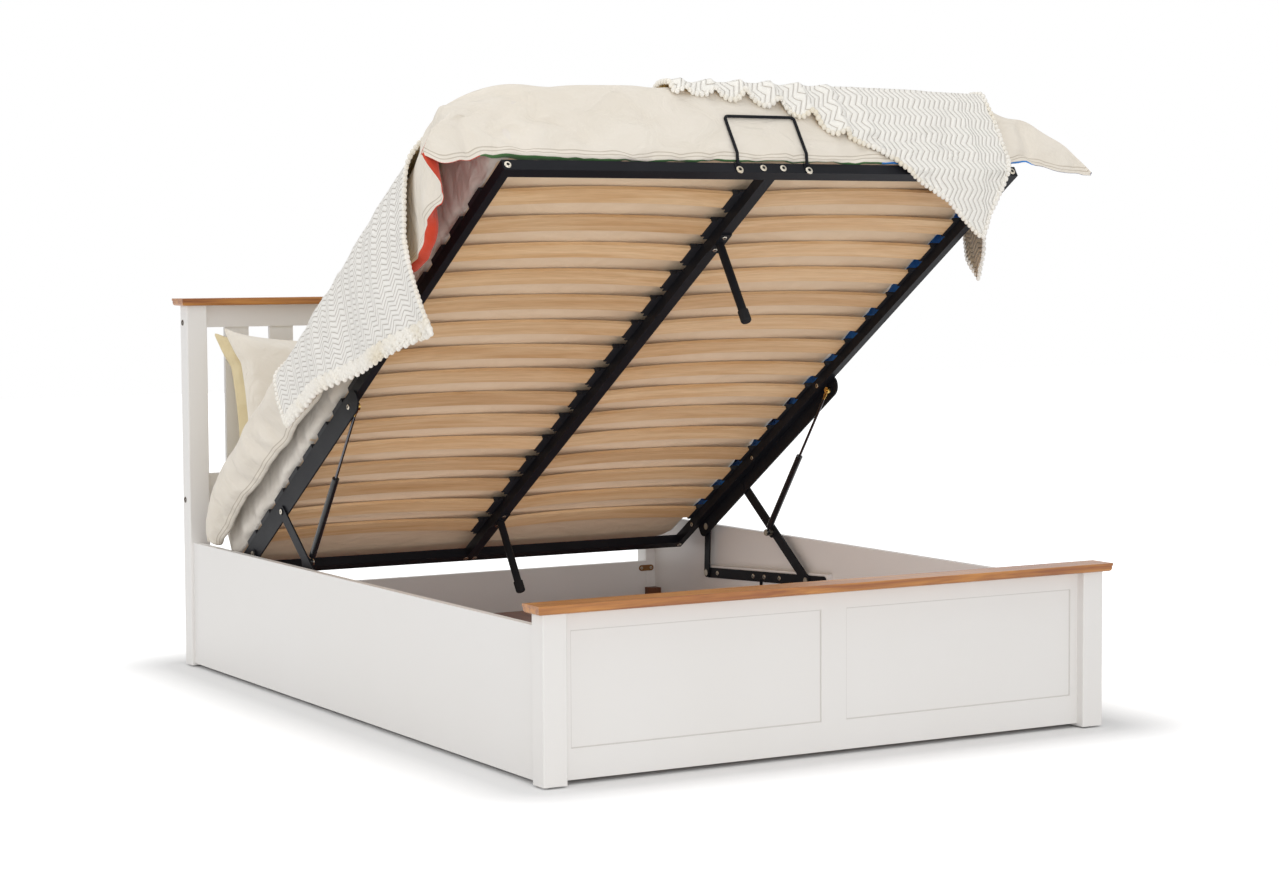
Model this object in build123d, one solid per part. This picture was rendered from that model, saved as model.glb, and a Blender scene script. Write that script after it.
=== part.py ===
from build123d import *
import math
import os

# Ottoman storage bed: a painted frame and a sprung platform on a four-bar lift.
# Millimetres. X runs across the bed, -Y is the foot end and Z is up.
# The origin is on the floor under the middle of the frame.
# The rest pose is the raised one, with the lift on its open stop.

# Frame sizes
FRAME_WIDTH = 1450.0
FRAME_LENGTH = 2040.0
POST_WIDTH = 56.0
POST_DEPTH = 50.0
HEAD_POST_TOP = 959.0
FOOT_POST_TOP = 359.0
POST_EDGE_ROUND = 3.0
GLIDE_HEIGHT = 4.0
GLIDE_RADIUS = 11.0
PANEL_THICK = 18.0
PANEL_INSET = 8.0
PANEL_BOTTOM = 10.0
SIDE_PANEL_TOP = 331.0

# Cap boards with a moulded edge
CAP_THICK = 19.0
CAP_BAND = 6.0
CAP_BAND_SET_BACK = 1.5
CAP_COVE = 7.0
CAP_SIDE_OVERHANG = 17.0
FOOT_CAP_FRONT_OVERHANG = 15.0
FOOT_CAP_BACK_OVERHANG = 8.0
HEAD_CAP_FRONT_OVERHANG = 13.0
HEAD_CAP_BACK_OVERHANG = 15.0

# Headboard
HEAD_RAIL_THICK = 22.0
HEAD_RAIL_BACK_SET = 6.0
HEAD_TOP_RAIL_HEIGHT = 58.0
HEAD_MID_RAIL_TOP = 512.0
HEAD_MID_RAIL_HEIGHT = 92.0
HEAD_SLAT_COUNT = 10
HEAD_SLAT_WIDTH = 67.0
HEAD_SLAT_THICK = 12.0
HEAD_PANEL_TOP = 200.0

# Foot frame
FOOT_SET_BACK = 23.0
FOOT_TOP_RAIL_HEIGHT = 39.0
FOOT_BOTTOM_RAIL_TOP = 75.0
FOOT_STILE_WIDTH = 65.0
FOOT_END_STILE_WIDTH = 20.0
FOOT_PANEL_RECESS = 2.5
FOOT_PANEL_THICK = 12.0

# Storage floor
FLOOR_TOP = 82.0
FLOOR_BOARD_THICK = 12.0
FLOOR_BOARD_COUNT = 4
FLOOR_BOARD_GAP = 1.0
FLOOR_EDGE_GAP = 1.0
LEDGER_THICK = 20.0
LEDGER_HEIGHT = 30.0
BEAM_WIDTH = 44.0
BEAM_FOOT_WIDTH = 36.0
BEAM_FOOT_SHARES = (-0.5, 0.5)

# Corner hardware
PLATE_LENGTH = 48.0
PLATE_HEIGHT = 17.0
PLATE_THICK = 2.0
PLATE_MIDDLE = 180.0
BLOCK_SIZE = 34.0
BLOCK_HEIGHT = 22.0
BLOCK_MIDDLE = 113.0
FRAME_BOLT_RADIUS = 8.0
FRAME_BOLT_HEAD = 1.5
HEAD_BOLT_DROPS = (45.0, 515.0)

# Lift mechanism, measured along the bed and up from the floor
RUNNING_GAP = 0.4
SEAT_GAP = 0.3
LIFT_TILT = 33.1
REAR_BASE_TO_HEAD = 374.0
REAR_BASE_Z = 197.0
FRONT_BASE_AHEAD = 505.0
FRONT_BASE_RISE = 27.0
REAR_LINK_LENGTH = 131.0
FRONT_LINK_LENGTH = 383.0
BAR_PIVOT_SPACING = 229.0
STRUT_PIVOT_SPACING = 514.0
STRUT_FOOT_SHARE = 0.53
STRUT_FOOT_DROP = 8.0
BATTEN_THICK = 14.0
BATTEN_HEIGHT = 70.0
BATTEN_RISE = 20.0
BATTEN_REAR_RUN = 30.0
BATTEN_FRONT_RUN = 95.0
BASE_PLATE_THICK = 3.0
BASE_PLATE_HEIGHT = 28.0
BASE_PLATE_FRONT_RUN = 75.0
BASE_PLATE_BOLT_SHARES = (0.1, 0.47, 0.58, 0.73)
BASE_PEG_SHARE = 0.55
BASE_PEG_LENGTH = 20.0
BASE_PEG_LAP = 6.0
BASE_PEG_RADIUS = 4.0
LINK_THICK = 4.0
REAR_LINK_WIDTH = 26.0
FRONT_LINK_WIDTH = 30.0
PIVOT_RADIUS = 5.0
PIVOT_HEAD_RADIUS = 9.0
PIVOT_HEAD_THICK = 2.0
BAR_THICK = 4.0
BAR_DROP = 19.0
BAR_LAP = 18.0
BAR_HEAD_RUN = 38.0
BAR_NOSE_RADIUS = 27.0
BAR_NOSE_AHEAD = 8.0
BAR_BOLT_RADIUS = 6.0
BAR_BOLT_HEAD = 3.0
BAR_BOLT_RISE = 9.0
BAR_BOLT_SHARES = (-0.05, 0.46, 0.97)
STRUT_RADIUS = 8.5
STRUT_BODY_LENGTH = 268.0
STRUT_END_GAP = 12.0
STRUT_NECK_RADIUS = 5.0
ROD_RADIUS = 3.5
NECK_SHARE = 0.75
ROD_INSIDE = 30.0
EYE_RADIUS = 9.0
EYE_THICK = 8.0
STRUT_STUB_RADIUS = 4.0
STRUT_BOSS_RADIUS = 8.0
STRUT_BOSS_LENGTH = 4.9

# Sprung platform, drawn level with the upper rear pivots at its origin
RAIL_WIDTH = 20.0
RAIL_HEIGHT = 25.0
RAIL_ABOVE_PIVOT = 18.0
END_RAIL_WIDTH = 28.0
CENTRE_RAIL_WIDTH = 28.0
PLATFORM_END_ALLOWANCE = 195.0
PLATFORM_BEHIND_PIVOT = 155.0
SLAT_COUNT = 15
SLAT_WIDTH = 53.0
SLAT_THICK = 8.0
SLAT_CROWN = 12.0
FIRST_SLAT_BACK = 178.0
LAST_SLAT_SET = 127.0
HOLDER_WALL = 4.5
HOLDER_FLOOR = 2.0
HOLDER_ROOF = 2.3
HOLDER_DEPTH = 30.0
HOLDER_BACK_WALL = 5.0
CENTRE_HOLDER_HALF = 36.0
CENTRE_HOLDER_WEB = 5.0
CENTRE_HOLDER_STEP = 11.0
LEG_RADIUS = 10.0
LEG_FLANGE_LENGTH = 76.0
LEG_FLANGE_THICK = 3.0
LEG_BOLT_SPACING = 50.0
LEG_BOLT_RADIUS = 6.0
LEG_BOLT_HEAD = 3.0
LEG_FOOT_RADIUS = 12.5
LEG_FOOT_HEIGHT = 30.0
LEG_FOOT_ROUND = 5.0
FRONT_LEG_SET = 282.0
REAR_LEG_RUN = 75.0
HOOP_HALF_WIDTH = 91.0
HOOP_TOP = 163.0
HOOP_ROD_RADIUS = 3.5
HOOP_STEP = 10.0
HOOP_BEND = 9.0
HOOP_TAB_WIDTH = 18.0
HOOP_TAB_THICK = 2.5
HOOP_STEP_START = 42.0
HOOP_STEP_END = 62.0
FOOT_RAIL_BOLT_RADIUS = 5.5
FOOT_RAIL_BOLT_HEAD = 3.0
CENTRE_BOLT_HALF = 26.0
CORNER_BOLT_INSET = 12.0

# Bedding
MATTRESS_SIDE_ALLOWANCE = 100.0
MATTRESS_HEAD_OVERHANG = 45.0
MATTRESS_THICK = 160.0
MATTRESS_CORNER = 70.0
MATTRESS_EDGE = 22.0
MATTRESS_FOOT_SET = 2.0
DUVET_THICK = 34.0
DUVET_DROP_THICK = 24.0
DUVET_HEM = 78.0
DUVET_SPREAD = 40.0
DUVET_FOLD = 26.0
DUVET_FLARE = 160.0
DUVET_HEAD_RUN = 190.0
DUVET_HEAD_HEM_LIFT = 30.0
DUVET_FOOT_CLOTH = 11.0
DUVET_FOOT_HEM = 68.0
DUVET_FOOT_SIDE_SET = 60.0
DUVET_SHOULDER = 60.0
DUVET_STATION_SHARES = (0.0, 0.07, 0.2, 0.33, 0.46, 0.59, 0.72, 0.86, 1.0)
DUVET_FLARE_SHARES = (0.75, 1.0, 0.15, 0.0, 0.0, 0.0, 0.0, 0.0, 0.0)
DUVET_FOLD_SHARES = (0.0, 0.0, -0.6, 0.5, -0.5, 0.6, -0.5, 0.5, 0.0)
THROW_THICK = 8.0
THROW_TOP_REACH = 300.0
THROW_FOOT_SET = 290.0
THROW_LENGTH = 900.0
THROW_OUT = 102.0
THROW_FOLD = 14.0
THROW_FRONT_HEM = -170.0
THROW_REAR_HEM = 105.0
THROW_STATION_SHARES = (0.0, 0.25, 0.5, 0.75, 1.0)
THROW_FOLD_SHARES = (0.0, 1.0, -0.4, 0.9, 0.0)
FLAP_THICK = 4.0
FLAP_LAP = 420.0
FLAP_TOP_X_SHARES = (-0.26, 0.97)
FLAP_TIP_SHARES = ((-0.26, 0.0), (0.0, 0.14), (0.21, 0.33), (0.38, 0.6), (0.56, 1.0), (0.93, 1.0), (0.97, 0.7), (0.97, 0.0))
FLAP_DROP = 256.0
FLAP_HANG_SHARES = ((0.56, 0.0), (0.66, 0.33), (0.77, 0.78), (0.83, 1.0), (0.88, 0.62), (0.93, 0.0))
FLAP_HANG = 160.0
PILLOW_WIDTH_SHARE = 0.474
PILLOW_HEIGHT = 440.0
PILLOW_THICK = 78.0
PILLOW_EDGE = 16.0
PILLOW_MIDDLE_GAP = 8.0
PILLOW_BACK_SET = 20.0
PILLOW_LEAN = 3.5
PILLOW_STATION_SHARES = (-0.5, -0.44, -0.25, 0.0, 0.25, 0.44, 0.5)
PILLOW_THICK_SHARES = (0.22, 0.62, 0.94, 1.0, 0.94, 0.62, 0.22)
PILLOW_HEIGHT_SHARES = (0.9, 0.97, 0.96, 0.94, 0.96, 0.97, 0.9)

CUT_OVERRUN = 1.0
HALF_SHARE = 0.5

# Places worked out from the sizes
HALF_WIDTH = FRAME_WIDTH * HALF_SHARE
HALF_LENGTH = FRAME_LENGTH * HALF_SHARE
INNER_HALF = HALF_WIDTH - POST_WIDTH
PANEL_OUTER = HALF_WIDTH - PANEL_INSET
PANEL_INNER = PANEL_OUTER - PANEL_THICK
FOOT_Y = -HALF_LENGTH
HEAD_Y = HALF_LENGTH
FOOT_POST_BACK = FOOT_Y + POST_DEPTH
HEAD_POST_FRONT = HEAD_Y - POST_DEPTH
HEAD_RAIL_BACK = HEAD_Y - HEAD_RAIL_BACK_SET
HEAD_RAIL_FRONT = HEAD_RAIL_BACK - HEAD_RAIL_THICK
FOOT_FRONT = FOOT_Y + FOOT_SET_BACK
FOOT_BACK = FOOT_FRONT + PANEL_THICK
BOX_BACK = HEAD_POST_FRONT
REAR_BASE_Y = HEAD_Y - REAR_BASE_TO_HEAD
PLATFORM_LENGTH = FRAME_LENGTH - PLATFORM_END_ALLOWANCE
SLAT_PITCH = (PLATFORM_LENGTH - FIRST_SLAT_BACK - LAST_SLAT_SET) / (SLAT_COUNT - 1)
MATTRESS_WIDTH = FRAME_WIDTH - MATTRESS_SIDE_ALLOWANCE
MATTRESS_LENGTH = PLATFORM_LENGTH + MATTRESS_HEAD_OVERHANG
PILLOW_WIDTH = MATTRESS_WIDTH * PILLOW_WIDTH_SHARE
PILLOW_BACK = HEAD_RAIL_FRONT - PILLOW_BACK_SET

BASE_X = PANEL_INNER - BATTEN_THICK - BASE_PLATE_THICK
LINK_X = BASE_X - RUNNING_GAP - LINK_THICK
BAR_X = LINK_X - RUNNING_GAP - BAR_THICK
RAIL_OUTER = BAR_X
RAIL_INNER = RAIL_OUTER - RAIL_WIDTH
STRUT_X = BAR_X - STRUT_BOSS_LENGTH - SEAT_GAP - EYE_THICK * HALF_SHARE
RAIL_TOP = RAIL_ABOVE_PIVOT + RAIL_HEIGHT
FOOT_RUN = PLATFORM_LENGTH - PLATFORM_BEHIND_PIVOT
FRONT_LEG_RUN = FOOT_RUN - FRONT_LEG_SET
THROW_FOOT_RUN = FOOT_RUN - THROW_FOOT_SET


def loop(tilt):
    """Upper pivots of the four-bar loop at a platform tilt, as (y, z) pairs."""
    run = BAR_PIVOT_SPACING * math.cos(math.radians(tilt))
    rise = BAR_PIVOT_SPACING * math.sin(math.radians(tilt))
    shifted = (REAR_BASE_Y - run, REAR_BASE_Z + rise)
    base = (REAR_BASE_Y - FRONT_BASE_AHEAD, REAR_BASE_Z + FRONT_BASE_RISE)
    away = (base[0] - shifted[0], base[1] - shifted[1])
    reach = math.hypot(away[0], away[1])
    along = (REAR_LINK_LENGTH ** 2 - FRONT_LINK_LENGTH ** 2 + reach ** 2) / reach * HALF_SHARE
    across = math.sqrt(REAR_LINK_LENGTH ** 2 - along ** 2)
    unit = (away[0] / reach, away[1] / reach)
    front = (
        shifted[0] + along * unit[0] + across * unit[1],
        shifted[1] + along * unit[1] - across * unit[0],
    )
    if front[1] < shifted[1] + along * unit[1]:
        front = (
            shifted[0] + along * unit[0] - across * unit[1],
            shifted[1] + along * unit[1] + across * unit[0],
        )
    rear = (front[0] + run, front[1] - rise)
    return rear, front


def turned(point, centre, degrees):
    """A (y, z) point turned about a centre, positive from Y towards Z."""
    c = math.cos(math.radians(degrees))
    s = math.sin(math.radians(degrees))
    dy = point[0] - centre[0]
    dz = point[1] - centre[1]
    return centre[0] + dy * c - dz * s, centre[1] + dy * s + dz * c


def heading(start, end):
    return math.degrees(math.atan2(end[1] - start[1], end[0] - start[0]))


def span(start, end):
    return math.hypot(end[0] - start[0], end[1] - start[1])


REAR_BASE = (REAR_BASE_Y, REAR_BASE_Z)
FRONT_BASE = (REAR_BASE_Y - FRONT_BASE_AHEAD, REAR_BASE_Z + FRONT_BASE_RISE)
REAR_TOP, FRONT_TOP = loop(LIFT_TILT)
REAR_TOP_DOWN, FRONT_TOP_DOWN = loop(0)
LINK_HEADING = heading(FRONT_BASE, FRONT_TOP)
LINK_HEADING_DOWN = heading(FRONT_BASE, FRONT_TOP_DOWN)
STRUT_RUN = BAR_PIVOT_SPACING + STRUT_PIVOT_SPACING
STRUT_TOP = turned((REAR_TOP[0] - STRUT_RUN, REAR_TOP[1]), REAR_TOP, -LIFT_TILT)
STRUT_TOP_DOWN = (REAR_TOP_DOWN[0] - STRUT_RUN, REAR_TOP_DOWN[1])


def strut_foot(link_heading):
    level = (
        FRONT_BASE[0] + FRONT_LINK_LENGTH * STRUT_FOOT_SHARE,
        FRONT_BASE[1] - STRUT_FOOT_DROP,
    )
    return turned(level, FRONT_BASE, link_heading)


STRUT_FOOT = strut_foot(LINK_HEADING)
STRUT_FOOT_DOWN = strut_foot(LINK_HEADING_DOWN)
STRUT_HEADING = heading(STRUT_FOOT, STRUT_TOP)
STRUT_LENGTH = span(STRUT_FOOT, STRUT_TOP)
STRUT_LENGTH_DOWN = span(STRUT_FOOT_DOWN, STRUT_TOP_DOWN)
DOWN_UNDERSIDE = REAR_TOP_DOWN[1] + RAIL_ABOVE_PIVOT
LEG_REACH = DOWN_UNDERSIDE - FLOOR_TOP - SEAT_GAP

RAISED = Pos(0, REAR_TOP[0], REAR_TOP[1]) * Rot(-LIFT_TILT, 0, 0)


def block(x0, x1, y0, y1, z0, z1):
    return Pos(x0, y0, z0) * Box(
        x1 - x0, y1 - y0, z1 - z0, align=(Align.MIN, Align.MIN, Align.MIN)
    )


def disc_x(x0, x1, y, z, radius):
    """Round bar along X between two places."""
    return Pos(x0, y, z) * Rot(0, 90, 0) * Cylinder(
        radius, x1 - x0, align=(Align.CENTER, Align.CENTER, Align.MIN)
    )


def disc_y(y0, y1, x, z, radius):
    """Round bar along Y between two places."""
    return Pos(x, y0, z) * Rot(-90, 0, 0) * Cylinder(
        radius, y1 - y0, align=(Align.CENTER, Align.CENTER, Align.MIN)
    )


def disc_z(z0, z1, x, y, radius):
    return Pos(x, y, z0) * Cylinder(
        radius, z1 - z0, align=(Align.CENTER, Align.CENTER, Align.MIN)
    )


def mirrored(solid):
    return mirror(solid, about=Plane.YZ)


def both_sides(solids):
    return list(solids) + [mirrored(s) for s in solids]


def strap(start, end, width, x0, x1):
    """Flat bar with round ends between two (y, z) points."""
    run = span(start, end)
    middle_y = (start[0] + end[0]) * HALF_SHARE
    middle_z = (start[1] + end[1]) * HALF_SHARE
    direction = ((end[0] - start[0]) / run, (end[1] - start[1]) / run)
    plane = Plane(
        origin=(x0, middle_y, middle_z), x_dir=(0, direction[0], direction[1]), z_dir=(1, 0, 0)
    )
    return extrude(plane * SlotCenterToCenter(run, width), x1 - x0)


# %% Frame

def posts(top, y0, y1):
    solids = []
    for side in (-1, 1):
        outer = side * HALF_WIDTH
        inner = side * INNER_HALF
        post = block(min(outer, inner), max(outer, inner), y0, y1, GLIDE_HEIGHT, top)
        solids.append(fillet(post.edges().filter_by(Axis.Z), POST_EDGE_ROUND))
    return solids


def cap(top, y0, y1):
    """Cap board: a square upper band over a coved lower band."""
    reach = HALF_WIDTH + CAP_SIDE_OVERHANG
    band = block(-reach, reach, y0, y1, top + CAP_THICK - CAP_BAND, top + CAP_THICK)
    inset = CAP_BAND_SET_BACK
    lower = block(
        -reach + inset, reach - inset, y0 + inset, y1 - inset, top, top + CAP_THICK - CAP_BAND
    )
    under = lower.faces().sort_by(Axis.Z)[0].edges()
    lower = fillet(under, CAP_COVE)
    return [band + lower]


def head_slats():
    gap = (INNER_HALF + INNER_HALF - HEAD_SLAT_COUNT * HEAD_SLAT_WIDTH) / (HEAD_SLAT_COUNT + 1)
    middle = (HEAD_RAIL_FRONT + HEAD_RAIL_BACK) * HALF_SHARE
    y0 = middle - HEAD_SLAT_THICK * HALF_SHARE
    solids = []
    for i in range(HEAD_SLAT_COUNT):
        x0 = -INNER_HALF + gap + i * (gap + HEAD_SLAT_WIDTH)
        top = HEAD_POST_TOP - HEAD_TOP_RAIL_HEIGHT
        solids.append(
            block(x0, x0 + HEAD_SLAT_WIDTH, y0, y0 + HEAD_SLAT_THICK, HEAD_MID_RAIL_TOP, top)
        )
    return solids


def foot_stiles():
    low = FOOT_BOTTOM_RAIL_TOP
    high = FOOT_POST_TOP - FOOT_TOP_RAIL_HEIGHT
    half = FOOT_STILE_WIDTH * HALF_SHARE
    inner = INNER_HALF - FOOT_END_STILE_WIDTH
    return [
        block(-INNER_HALF, -inner, FOOT_FRONT, FOOT_BACK, low, high),
        block(-half, half, FOOT_FRONT, FOOT_BACK, low, high),
        block(inner, INNER_HALF, FOOT_FRONT, FOOT_BACK, low, high),
    ]


def foot_panels():
    low = FOOT_BOTTOM_RAIL_TOP
    high = FOOT_POST_TOP - FOOT_TOP_RAIL_HEIGHT
    half = FOOT_STILE_WIDTH * HALF_SHARE
    inner = INNER_HALF - FOOT_END_STILE_WIDTH
    front = FOOT_FRONT + FOOT_PANEL_RECESS
    right = block(half, inner, front, front + FOOT_PANEL_THICK, low, high)
    return [mirrored(right), right]


def floor_boards():
    y0 = FOOT_POST_BACK + FLOOR_EDGE_GAP
    y1 = BOX_BACK - FLOOR_EDGE_GAP
    reach = PANEL_INNER - FLOOR_EDGE_GAP
    pitch = (y1 - y0 + FLOOR_BOARD_GAP) / FLOOR_BOARD_COUNT
    solids = []
    for i in range(FLOOR_BOARD_COUNT):
        start = y0 + i * pitch
        solids.append(
            block(
                -reach, reach, start, start + pitch - FLOOR_BOARD_GAP,
                FLOOR_TOP - FLOOR_BOARD_THICK, FLOOR_TOP,
            )
        )
    return solids


def floor_ledgers():
    top = FLOOR_TOP - FLOOR_BOARD_THICK
    right = block(
        PANEL_INNER - LEDGER_THICK, PANEL_INNER, FOOT_POST_BACK, BOX_BACK, top - LEDGER_HEIGHT, top
    )
    return [mirrored(right), right]


def floor_beams():
    """Cross beams under the joints of the floor boards, each on two short legs."""
    y0 = FOOT_POST_BACK + FLOOR_EDGE_GAP
    y1 = BOX_BACK - FLOOR_EDGE_GAP
    pitch = (y1 - y0 + FLOOR_BOARD_GAP) / FLOOR_BOARD_COUNT
    top = FLOOR_TOP - FLOOR_BOARD_THICK
    low = top - LEDGER_HEIGHT
    reach = PANEL_INNER - LEDGER_THICK
    half = BEAM_WIDTH * HALF_SHARE
    foot = BEAM_FOOT_WIDTH * HALF_SHARE
    solids = []
    for i in range(1, FLOOR_BOARD_COUNT):
        y = y0 + i * pitch - FLOOR_BOARD_GAP * HALF_SHARE
        solids.append(block(-reach, reach, y - half, y + half, low, top))
        for share in BEAM_FOOT_SHARES:
            x = share * reach
            solids.append(block(x - foot, x + foot, y - foot, y + foot, 0, low))
    return solids


def corner_plates():
    """Oblong plates that tie the head panel to the head posts, with two screws each."""
    run = PLATE_LENGTH - PLATE_HEIGHT
    plane = Plane(origin=(INNER_HALF, HEAD_POST_FRONT, PLATE_MIDDLE), x_dir=(1, 0, 0), z_dir=(0, -1, 0))
    plate = extrude(plane * SlotCenterToCenter(run, PLATE_HEIGHT), PLATE_THICK)
    return both_sides([plate])


def corner_blocks():
    """Knock-down blocks in the corners between the posts and the side panels."""
    x0 = PANEL_INNER - BLOCK_SIZE
    low = BLOCK_MIDDLE - BLOCK_HEIGHT * HALF_SHARE
    high = BLOCK_MIDDLE + BLOCK_HEIGHT * HALF_SHARE
    head = block(x0, PANEL_INNER, BOX_BACK - BLOCK_SIZE, BOX_BACK, low, high)
    foot = block(x0, PANEL_INNER, FOOT_POST_BACK, FOOT_POST_BACK + BLOCK_SIZE, low, high)
    head = chamfer(head.edges().filter_by(Axis.Z).group_by(Axis.X)[0].sort_by(Axis.Y)[0], BLOCK_SIZE * HALF_SHARE)
    foot = chamfer(foot.edges().filter_by(Axis.Z).group_by(Axis.X)[0].sort_by(Axis.Y)[-1], BLOCK_SIZE * HALF_SHARE)
    return both_sides([head, foot])


def frame_fasteners():
    """Bolt heads on the head posts, plate screws and the bolts of the lift plates."""
    y = (HEAD_RAIL_FRONT + HEAD_RAIL_BACK) * HALF_SHARE
    solids = []
    for drop in HEAD_BOLT_DROPS:
        solids.append(
            disc_x(HALF_WIDTH, HALF_WIDTH + FRAME_BOLT_HEAD, y, HEAD_POST_TOP - drop, FRAME_BOLT_RADIUS)
        )
    face = HEAD_POST_FRONT - PLATE_THICK
    offset = (PLATE_LENGTH - PLATE_HEIGHT) * HALF_SHARE
    for x in (INNER_HALF - offset, INNER_HALF + offset):
        solids.append(disc_y(face - FRAME_BOLT_HEAD, face, x, PLATE_MIDDLE, PLATE_HEIGHT / 4))
    for share in BASE_PLATE_BOLT_SHARES:
        y = REAR_BASE[0] + share * (FRONT_BASE[0] - REAR_BASE[0])
        z = REAR_BASE[1] + share * (FRONT_BASE[1] - REAR_BASE[1])
        solids.append(disc_x(BASE_X - BAR_BOLT_HEAD, BASE_X, y, z, BAR_BOLT_RADIUS))
    return both_sides(solids)


def post_glides():
    x = HALF_WIDTH - POST_WIDTH * HALF_SHARE
    solids = []
    for y in (FOOT_Y + POST_DEPTH * HALF_SHARE, HEAD_Y - POST_DEPTH * HALF_SHARE):
        solids.append(disc_z(0, GLIDE_HEIGHT, x, y, GLIDE_RADIUS))
    return both_sides(solids)


# %% Lift mechanism

def lift_batten():
    """Batten on the side panel that follows the slope of the base plate."""
    slope = heading(FRONT_BASE, REAR_BASE)
    run = span(FRONT_BASE, REAR_BASE) + BATTEN_REAR_RUN + BATTEN_FRONT_RUN
    bar = block(
        PANEL_INNER - BATTEN_THICK, PANEL_INNER, 0, run, BATTEN_RISE - BATTEN_HEIGHT, BATTEN_RISE
    )
    start = turned((FRONT_BASE[0] - BATTEN_FRONT_RUN, FRONT_BASE[1]), FRONT_BASE, slope)
    return Pos(0, start[0], start[1]) * Rot(slope, 0, 0) * bar


def base_plate():
    """Plate on the batten that carries both lower pivots and a locating peg."""
    slope = heading(FRONT_BASE, REAR_BASE)
    nose = turned((FRONT_BASE[0] - BASE_PLATE_FRONT_RUN, FRONT_BASE[1]), FRONT_BASE, slope)
    plate = strap(nose, REAR_BASE, BASE_PLATE_HEIGHT, BASE_X, BASE_X + BASE_PLATE_THICK)
    y = REAR_BASE[0] + BASE_PEG_SHARE * (FRONT_BASE[0] - REAR_BASE[0])
    z = REAR_BASE[1] + BASE_PEG_SHARE * (FRONT_BASE[1] - REAR_BASE[1])
    top = z - BASE_PLATE_HEIGHT * HALF_SHARE + BASE_PEG_LAP
    peg = disc_z(top - BASE_PEG_LENGTH, top, BASE_X, y, BASE_PEG_RADIUS)
    peg = peg - block(
        BASE_X + BASE_PLATE_THICK, PANEL_INNER, y - BASE_PEG_LENGTH, y + BASE_PEG_LENGTH, 0, z
    )
    return plate + peg


def pivot_pins():
    """Shouldered pins of the two lower pivots on each side."""
    solids = []
    for y, z in (REAR_BASE, FRONT_BASE):
        shank = disc_x(LINK_X - RUNNING_GAP, BASE_X, y, z, PIVOT_RADIUS)
        head = disc_x(
            LINK_X - RUNNING_GAP - PIVOT_HEAD_THICK, LINK_X - RUNNING_GAP, y, z, PIVOT_HEAD_RADIUS
        )
        solids.append(shank + head)
    return both_sides(solids)


def pin_hole(y, z):
    return disc_x(
        LINK_X - CUT_OVERRUN, LINK_X + LINK_THICK + CUT_OVERRUN, y, z, PIVOT_RADIUS + SEAT_GAP
    )


def rear_link():
    link = strap(REAR_BASE, REAR_TOP, REAR_LINK_WIDTH, LINK_X, LINK_X + LINK_THICK)
    return link - pin_hole(*REAR_BASE) - pin_hole(*REAR_TOP)


def front_link():
    """Long link with an ear for the strut and its own rivet at the upper end."""
    link = strap(FRONT_BASE, FRONT_TOP, FRONT_LINK_WIDTH, LINK_X, LINK_X + LINK_THICK)
    near = (
        FRONT_BASE[0] + (FRONT_TOP[0] - FRONT_BASE[0]) * STRUT_FOOT_SHARE,
        FRONT_BASE[1] + (FRONT_TOP[1] - FRONT_BASE[1]) * STRUT_FOOT_SHARE,
    )
    ear = strap(near, STRUT_FOOT, FRONT_LINK_WIDTH, LINK_X, LINK_X + LINK_THICK)
    rivet = disc_x(
        LINK_X + LINK_THICK, LINK_X + LINK_THICK + PIVOT_HEAD_THICK,
        FRONT_TOP[0], FRONT_TOP[1], PIVOT_HEAD_RADIUS,
    )
    return link + ear + rivet - pin_hole(*FRONT_BASE)


def strut_stubs():
    """Shouldered studs on the front links that carry the lower strut eyes."""
    y, z = STRUT_FOOT
    inner = STRUT_X - EYE_THICK * HALF_SHARE - SEAT_GAP
    outer = STRUT_X + EYE_THICK * HALF_SHARE + SEAT_GAP
    stub = disc_x(inner, outer, y, z, STRUT_STUB_RADIUS)
    shoulder = disc_x(outer, LINK_X, y, z, STRUT_BOSS_RADIUS)
    head = disc_x(inner - PIVOT_HEAD_THICK, inner, y, z, STRUT_BOSS_RADIUS)
    return both_sides([stub + shoulder + head])


def along_strut(solid):
    """Places a piece drawn along +Y from the lower strut pivot."""
    return Pos(STRUT_X, STRUT_FOOT[0], STRUT_FOOT[1]) * Rot(STRUT_HEADING, 0, 0) * solid


def strut_cylinder():
    """Gas strut body: eye, neck and tube, bored for the rod."""
    half = EYE_THICK * HALF_SHARE
    eye = disc_x(-half, half, 0, 0, EYE_RADIUS)
    neck = disc_y(0, EYE_RADIUS + STRUT_END_GAP, 0, 0, half * NECK_SHARE)
    tube = disc_y(EYE_RADIUS + STRUT_END_GAP * HALF_SHARE, STRUT_BODY_LENGTH, 0, 0, STRUT_RADIUS)
    tube = chamfer(tube.faces().sort_by(Axis.Y)[0].edges(), STRUT_RADIUS * HALF_SHARE)
    body = eye + neck + tube
    body = body - disc_x(-half - CUT_OVERRUN, half + CUT_OVERRUN, 0, 0, STRUT_STUB_RADIUS + SEAT_GAP)
    stroke = STRUT_LENGTH - STRUT_LENGTH_DOWN
    start = STRUT_BODY_LENGTH - ROD_INSIDE - stroke - CUT_OVERRUN
    body = body - disc_y(start, STRUT_BODY_LENGTH + CUT_OVERRUN, 0, 0, ROD_RADIUS + SEAT_GAP)
    return along_strut(body)


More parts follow.
